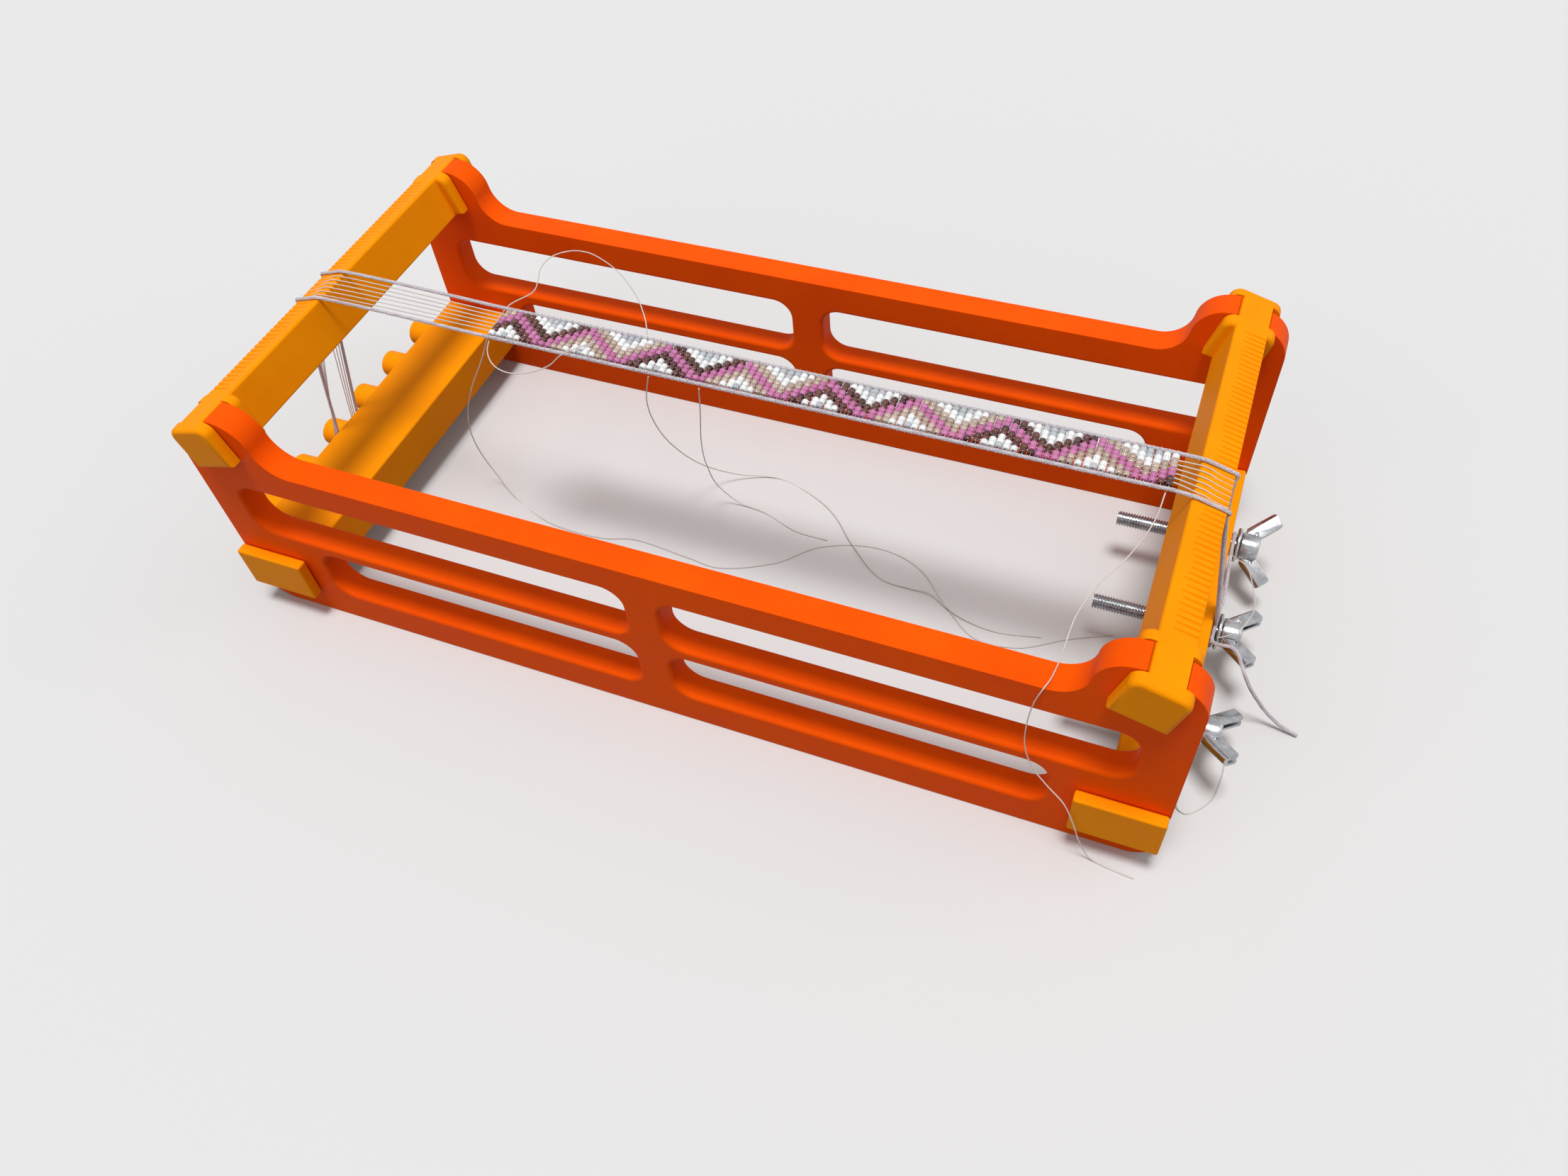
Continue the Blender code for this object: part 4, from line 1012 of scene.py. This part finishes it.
thick_route = strand_right(0, EDGE_CORD_Y, CORD_RADIUS, KNOT_SPREAD, 0)[::-1]
thick_route += along_band(EDGE_CORD_Y)
thick_route += strand_left((1, -6), EDGE_CORD_Y, CORD_RADIUS, 0)
thick_route += along_band(-EDGE_CORD_Y)[::-1]
thick_route += strand_right(-7, -EDGE_CORD_Y, CORD_RADIUS, -KNOT_SPREAD, 0)
drawn("braided_warp", braid(smooth_path(thick_route, BRAID_STEP)), YARN_RADIUS, 0, CORD,
      ("warp_cord",))

LEFT_GROOVES = ((0, -5), (-1, -4), (-2, -3))
thin_paths = []
for number, grooves in enumerate(LEFT_GROOVES):
    rows = (2.5 - number) * BEAD_LENGTH
    layer = CORD_RADIUS + GAP + THREAD_RADIUS + number * THREAD_STEP
    ends = []
    for partner, offset in ((number, rows), (5 - number, -rows)):
        spread_x = (1 - partner // 2) * THREAD_STEP
        depth = (partner % 2 - 0.5) * THREAD_STEP
        ends.append(strand_right(-1 - partner, offset, THREAD_RADIUS, spread_x, depth))
    route = ends[0][::-1] + along_band(rows) + strand_left(grooves, rows, THREAD_RADIUS, layer)
    route += along_band(-rows)[::-1] + ends[1]
    thin_paths.append(smooth_path(route, STRAND_STEP))
drawn("thin_warp", thin_paths, THREAD_RADIUS, 1, CLEAR,
      [f"warp_left_{number}" for number in (1, 2, 3)]
      + [f"warp_right_{number}" for number in range(1, 7)])


# Beadwork

# The band is woven from glass cylinder beads, seven across and 96 along: a mauve zigzag with
# garnet and champagne borders on white and pale grey, held by weft thread through each row.

BEAD_RADIUS = 0.00084
HOLE_RADIUS = 0.00034
BEAD_GAP = 0.00003
BEAD_LEAN = 0.00006
BEAD_SHIFT = 0.00002
BEAD_LIFT = 0.00004
BEAD_TILT = 0.05
BEAD_ROLL = 6.28
BEAD_SMALLEST = 0.97
ZIGZAG = 24
FIRST_PEAK = 3


def glass_surface():
    """Glass beads: a shade of its own for each bead and a faint wave in the glass."""
    group, inside, where = new_group(
        "glass_surface", {"Light": "Color", "Deep": "Color", "Matt": "Float"})
    shade = node(group, "ShaderNodeAttribute", {}, attribute_name="bead_shade")["Fac"]
    wave = speckle(group, where, 1500.0, detail=2.0, rough=0.5)
    share = spread(group, mixed(group, shade, wave, 0.3), 0.1, 1.2)
    rough = maths(group, "ADD", spread(group, wave, 0.3, 0.7, 0.0, 0.1), inside["Matt"])
    return put_out(group, Colour=blend_colours(group, share, inside["Deep"], inside["Light"]),
                   Roughness=rough, Height=wave)


GLASS = glass_surface()


def bead_glass(name, light, deep, matt, coat, **values):
    """One colour of glass bead."""
    inputs = {"Light": (*light, 1), "Deep": (*deep, 1), "Matt": matt}
    return dressed(name, GLASS, inputs, 0.00003, Coat_Weight=coat, IOR=1.52, Coat_Roughness=0.08,
                   **values)


BEAD_COLOURS = {
    "mauve": bead_glass("mauve_glass", (0.58, 0.19, 0.40), (0.45, 0.125, 0.29), 0.30, 0.12),
    "garnet": bead_glass("garnet_glass", (0.17, 0.055, 0.042), (0.06, 0.017, 0.015), 0.12, 0.6,
                         Metallic=0.55),
    "champagne": bead_glass("champagne_glass", (0.70, 0.55, 0.46), (0.50, 0.37, 0.29), 0.12, 0.6,
                            Metallic=0.25, Transmission_Weight=0.25),
    "white": bead_glass("white_glass", (0.84, 0.84, 0.84), (0.77, 0.78, 0.79), 0.35, 0.08),
    "grey": bead_glass("pale_grey_glass", (0.66, 0.70, 0.73), (0.52, 0.56, 0.60), 0.18, 0.3,
                       Transmission_Weight=0.3),
}


def bead_colour(column, row):
    """The colour of a bead, its column counted from the left and its row from the rear."""
    since = (column - FIRST_PEAK) % ZIGZAG
    half = ZIGZAG // 2
    away = min(since % half, half - since % half)
    if row in (away + 1, away + 2):
        return "mauve"
    if row in (away - 1, away):
        return "garnet" if 0 < since < half else "champagne"
    if row in (away + 3, away + 4):
        return "garnet" if min(since, ZIGZAG - since) <= 4 else "champagne"
    if row in (away - 3, away - 2, away + 5, away + 6):
        return "white"
    return "grey"


half = BEAD_LENGTH / 2 - BEAD_GAP
bead_profile = [(-half, HOLE_RADIUS)]
for along, out in ((-1, 0.82), (-0.9, 0.96), (-0.5, 1), (0.5, 1), (0.9, 0.96), (1, 0.82)):
    bead_profile.append((half * along, BEAD_RADIUS * out))
bead_profile.append((half, HOLE_RADIUS))
bead = part_object("bead", turned(bead_profile, 10))
band_frame = (Matrix.Translation((BAND_START, BAND_START_Y, BAND_Z))
              @ Matrix.Rotation(BAND_SLOPE, 4, "Z"))
band_parts = {name: bmesh.new() for name in BEAD_COLOURS}
shades = {name: bm.verts.layers.float.new("bead_shade") for name, bm in band_parts.items()}
for column in range(1, BEAD_COLUMNS + 1):
    lean = random.uniform(-BEAD_LEAN, BEAD_LEAN)
    for row in range(1, BEAD_ROWS + 1):
        name = bead_colour(column, row)
        bm = band_parts[name]
        known = len(bm.verts)
        bm.from_mesh(bead.data)
        bm.verts.ensure_lookup_table()
        new = bm.verts[known:]
        place = ((column - 0.5) * COLUMN_PITCH + lean * (row - 4),
                 BAND_WIDTH / 2 - (row - 0.5) * BEAD_LENGTH
                 + random.uniform(-BEAD_SHIFT, BEAD_SHIFT),
                 random.uniform(-BEAD_LIFT, BEAD_LIFT))
        turn = Matrix.Rotation(random.uniform(-BEAD_TILT, BEAD_TILT), 4, "Z")
        turn = turn @ Matrix.Rotation(random.uniform(0, BEAD_ROLL), 4, "Y")
        turn = turn @ Matrix.Rotation(math.pi / 2, 4, "Z")
        size = Matrix.Scale(random.uniform(BEAD_SMALLEST, 1.0), 4)
        bmesh.ops.transform(bm, verts=new, matrix=Matrix.Translation(place) @ turn @ size)
        shade = random.random()
        for vert in new:
            vert[shades[name]] = shade
bpy.data.objects.remove(bead)
for name, bm in band_parts.items():
    bmesh.ops.recalc_face_normals(bm, faces=bm.faces)
    shape = part_object("beads", bm)
    finished(f"{name}_beads", shape.data, BEAD_COLOURS[name], band_frame,
             stands_for=("bead_band",), crease=60, even=False)
    bpy.data.objects.remove(shape)

# Weft thread: two passes through the beads of each column, which turn round the edge cords.

WEFT_RADIUS = 0.00007
WEFT_LEAN = 0.0002
WEFT_SPLIT = 0.0001
weft_paths = []
for column in range(BEAD_COLUMNS):
    x = (column + 0.5) * COLUMN_PITCH
    for side in (-1, 1):
        centre = side * EDGE_CORD_Y
        inside = centre - side * (CORD_RADIUS + GAP + BEAD_LENGTH / 2)
        swing = CORD_RADIUS + WEFT_RADIUS * 0.6
        route = [(x - WEFT_LEAN, inside, -WEFT_SPLIT)]
        for step in range(9):
            angle = math.pi * (step / 8 - 0.5)
            route.append((x + WEFT_LEAN * (step / 4 - 1), centre + side * swing * math.cos(angle),
                          swing * math.sin(angle)))
        route.append((x + WEFT_LEAN, inside, WEFT_SPLIT))
        weft_paths.append([band_frame @ Vector(point) for point in route])
drawn("weft_turns", weft_paths, WEFT_RADIUS, 0, CLEAR)


# Knot

# The cord's end is wound flat round the middle screw's neck, between the bar and the washer,
# and tied off in a small frayed knot at the front.

KNOT_TURNS = 2.4
KNOT_START = math.radians(110)
LUMP_PLACE = (0.0005, -0.0046, 0.0019)
LUMP_SWAY = 0.00012
LUMP_REACH = 0.00034
LUMP_CORD = 0.0004
wound_start = SCREW_RADIUS + GAP + CORD_RADIUS
neck_x = LOW_BAR_FACE + GAP + CORD_RADIUS
winding = []
for step in range(60):
    share = step / 59
    angle = KNOT_START - 2 * math.pi * KNOT_TURNS * share
    swing = wound_start + (WOUND_RADIUS - CORD_RADIUS - wound_start) * share
    winding.append((neck_x, swing * math.cos(angle), SCREW_Z + swing * math.sin(angle)))
lump = []
for step in range(40):
    t = 2 * math.pi * step / 39
    lump.append((LOW_BAR_FACE + GAP + LUMP_PLACE[0] + LUMP_SWAY * math.sin(3 * t),
                 LUMP_PLACE[1] + LUMP_REACH * (math.sin(t) + 2 * math.sin(2 * t)),
                 SCREW_Z + LUMP_PLACE[2] + LUMP_REACH * (math.cos(t) - 2 * math.cos(2 * t))))
knot_paths = braid(smooth_path(winding, BRAID_STEP))
knot_paths += braid(smooth_path(lump, BRAID_STEP), LUMP_CORD)
drawn("wound_knot", knot_paths, YARN_RADIUS, 0, CORD, ("knot",))


# Loose cords and threads

# The cord between the rear screw and the knot is tied at both ends. The tail of the thick cord,
# the warp's thin ends and the weft's cut ends hang, loop and lie as the weaver left them.

MM = 0.001
THREAD_PATH_STEP = 0.0006
NECK = (neck_x, 0, SCREW_Z)
REAR_NECK = (neck_x, screw_y(0), SCREW_Z)
FRONT_NECK = (neck_x, screw_y(SCREW_COUNT - 1), SCREW_Z)
FIRST_BEAD = (BAND_START, BAND_START_Y, BAND_Z)
LAST_BEAD = (BAND_END, BAND_END_Y, BAND_Z)
TABLE = (BAND_START, BAND_START_Y, 0)
FRONT_RAIL = (BAND_END, -OUTER_Y, RAIL_TOP)
FRONT_TABLE = (BAND_END, -OUTER_Y, 0)


def stretched(stretches, radius):
    """The points of stretches in millimetres, each from its own start in metres."""
    points = []
    for start, route in stretches:
        for step in route:
            x, y, z = [begin + MM * way for begin, way in zip(start, step)]
            points.append(Vector((x, y, max(z, radius))))
    return points


def loose(name, stands_for, length, far_end, lay, *stretches):
    """A thin loose thread along its stretches; the length given is not used."""
    path = smooth_path(stretched(stretches, THREAD_RADIUS), THREAD_PATH_STEP)
    thread = drawn(name, [path], THREAD_RADIUS, 1, CLEAR, (stands_for,))


neck_swing = (SCREW_RADIUS + GAP + CORD_RADIUS) / MM
neck_loop = [(0, y, z) for y, z in arc((0, 0), neck_swing, -150, 90, 8)]
anchor_route = stretched(((REAR_NECK, neck_loop + [(0.2, -5.9, 1.5), (0.8, -11.9, -1.1)]),
                          (NECK, ((1, 11, -1.9), (0.2, 6.4, -0.8), (0.1, 5.3, -0.3)))),
                         CORD_RADIUS)
drawn("tied_cord", braid(smooth_path(anchor_route, BRAID_STEP)), YARN_RADIUS, 0, CORD,
      ("anchor_cord",))

tail_route = ((0.1, -5.0, 1.9), (1.1, -6.0, 2.6), (2.8, -6.2, 3.0), (4.6, -6.3, 3.2),
              (6.0, -7.4, 3.3), (7.3, -10.2, 3.4), (8.9, -13.0, 2.5), (10.8, -13.6, -0.7),
              (13.4, -13.1, -5.2), (16.4, -12.8, -9.5), (20.5, -13.2, -12.8),
              (24.6, -13.8, -14.2))
tail_path = smooth_path(stretched(((NECK, tail_route),), CORD_RADIUS), BRAID_STEP)
tail = drawn("thick_tail", braid(tail_path), YARN_RADIUS, 0, CORD, ("cord_tail",))

loose("arc_thread", "thin_arc", 0.038, "object", "loose",
      (REAR_NECK, ((0.45, -3.2, 0.6), (0.5, -4.8, 1.1), (1.6, -6.2, 1.8), (4.2, -8.3, 2.3))),
      (NECK, ((6.9, 10.4, 4.8), (7.6, 3.6, 6.3), (7.1, 1.3, 6.3), (5.4, -2.3, 5.2),
              (2.9, -4.2, 4.2), (1.0, -4.9, 3.6))))
loose("front_screw_thread", "front_neck_thread", 0.045, "bare", "loose",
      (FRONT_NECK, ((0, -2.5, -0.3), (0.4, -5.5, -3.7), (1, -9.7, -10.1), (1.6, -13.5, -13.8),
                    (4, -14.1, -14.7), (8.5, -9.1, -14.7), (9.9, -2.1, -14.7), (10, 4.4, -14.7))))
loose("rear_thread_loop", "rear_loop", 0.100, "object", "loose",
      (FIRST_BEAD, ((-0.4, -4.1, -1.2), (-1.1, -0.2, -1.2), (-2.6, 9.1, -2.3), (-0.6, 17.3, -3.8),
                    (-2.6, 23.2, -4.8), (-5.3, 29.1, -5.8), (-5.3, 34.9, -6.3), (-1.6, 38.5, -6.3),
                    (3.6, 38.7, -5.8), (11, 35.3, -4.8), (18.8, 29.6, -3.3), (27.6, 21.2, -1.8),
                    (34.6, 12.2, -0.3), (38.1, 6.4, 0.4))))
loose("front_thread_loop", "front_loop", 0.036, "object", "loose",
      (FIRST_BEAD, ((1.3, -6.5, -0.2), (1.4, -8.4, -1.8), (3.3, -10.3, -3.8), (7.4, -11.1, -4.8),
                    (12.6, -9.7, -4.8), (17.9, -7.8, -2.8), (21.5, -6.8, 0.6), (23.9, -5.3, 1.6),
                    (27.9, -0.9, 1.4))))
loose("long_thread_end", "long_tail", 0.277, "bare", "hanging",
      (FIRST_BEAD, ((-0.35, -4.1, -0.3), (-3.6, -5.5, -7.8), (-10.8, -4.6, -19.8),
                    (-17.1, -2.6, -31.8), (-22.1, 0.6, -44.8), (-24.1, 3.9, -57.8))),
      (TABLE, ((-21.1, 4.5, 2.4), (-14.7, 1.1, 0), (-0.1, -4.5, 0), (16.9, -4.9, 0),
               (25.9, -2.5, 0), (43.9, -3.9, 0), (52.9, -4.5, 0), (67.5, 2.1, 0), (76.9, 11.1, 0),
               (88.3, 15.5, 0), (97.9, 15.5, 0), (106.5, 11.9, 0), (116.4, 2.2, 0),
               (126.3, -5.3, 0), (137.4, -4.6, 0), (148.9, 2.1, 0), (159.4, 7.1, 0))))
loose("middle_thread_end", "middle_tail", 0.190, "bare", "hanging",
      (FIRST_BEAD, ((44.5, -6.7, -0.2), (41.3, -4.4, -9.8), (37.4, 2.5, -24.8),
                    (35.9, 11.1, -41.8), (38.5, 20.5, -57.8))),
      (TABLE, ((45.3, 28.1, 2.6), (56.5, 32.3, 0), (69.3, 28.5, 0), (76.9, 23.7, 0.3),
               (85.8, 14.3, 0.9), (96.8, 5.9, 0.2), (105.9, 5, 0.5), (110.9, 4.7, 1),
               (117.9, 0.9, 1), (123.4, -0.7, 0.4), (131.1, -1.5, 0), (142.4, 0.5, 0))))
loose("short_thread_end", "short_tail", 0.107, "bare", "hanging",
      (FIRST_BEAD, ((57.6, -6.9, -0.2), (54.3, -2.5, -12.8), (48.9, 4.7, -31.8),
                    (44.9, 12.5, -48.8), (44.5, 17.5, -61.8))),
      (TABLE, ((49.5, 19.1, 1.2), (57.6, 18.5, 0), (68.6, 14.7, 0), (78.3, 14.3, 0))))
loose("right_thread_end", "right_tail", 0.122, "bare", "hanging",
      (LAST_BEAD, ((-1, -6.6, 0), (-1.6, -12.3, -2.8), (-4.6, -19.9, -6.2), (-9, -26.7, -9.4))),
      (FRONT_RAIL, ((-11.6, 16.8, 3.5), (-12.1, 10.2, 1.5), (-12.3, 6.8, 0.8), (-12.9, 1.8, 0.9),
                    (-13.7, -0.4, 0.4), (-14.9, -0.85, -4.1), (-15.7, -0.85, -12.5),
                    (-15.3, -0.9, -21.5), (-12.9, -1.25, -28.5), (-9.3, -2.25, -32.1),
                    (-4.9, -3.75, -35.1), (-1.9, -4.35, -41.5), (0.3, -4.65, -47.9))),
      (FRONT_TABLE, ((3.5, -4.85, 0.8), (7.9, -5.55, 0), (13.7, -6.15, 0))))
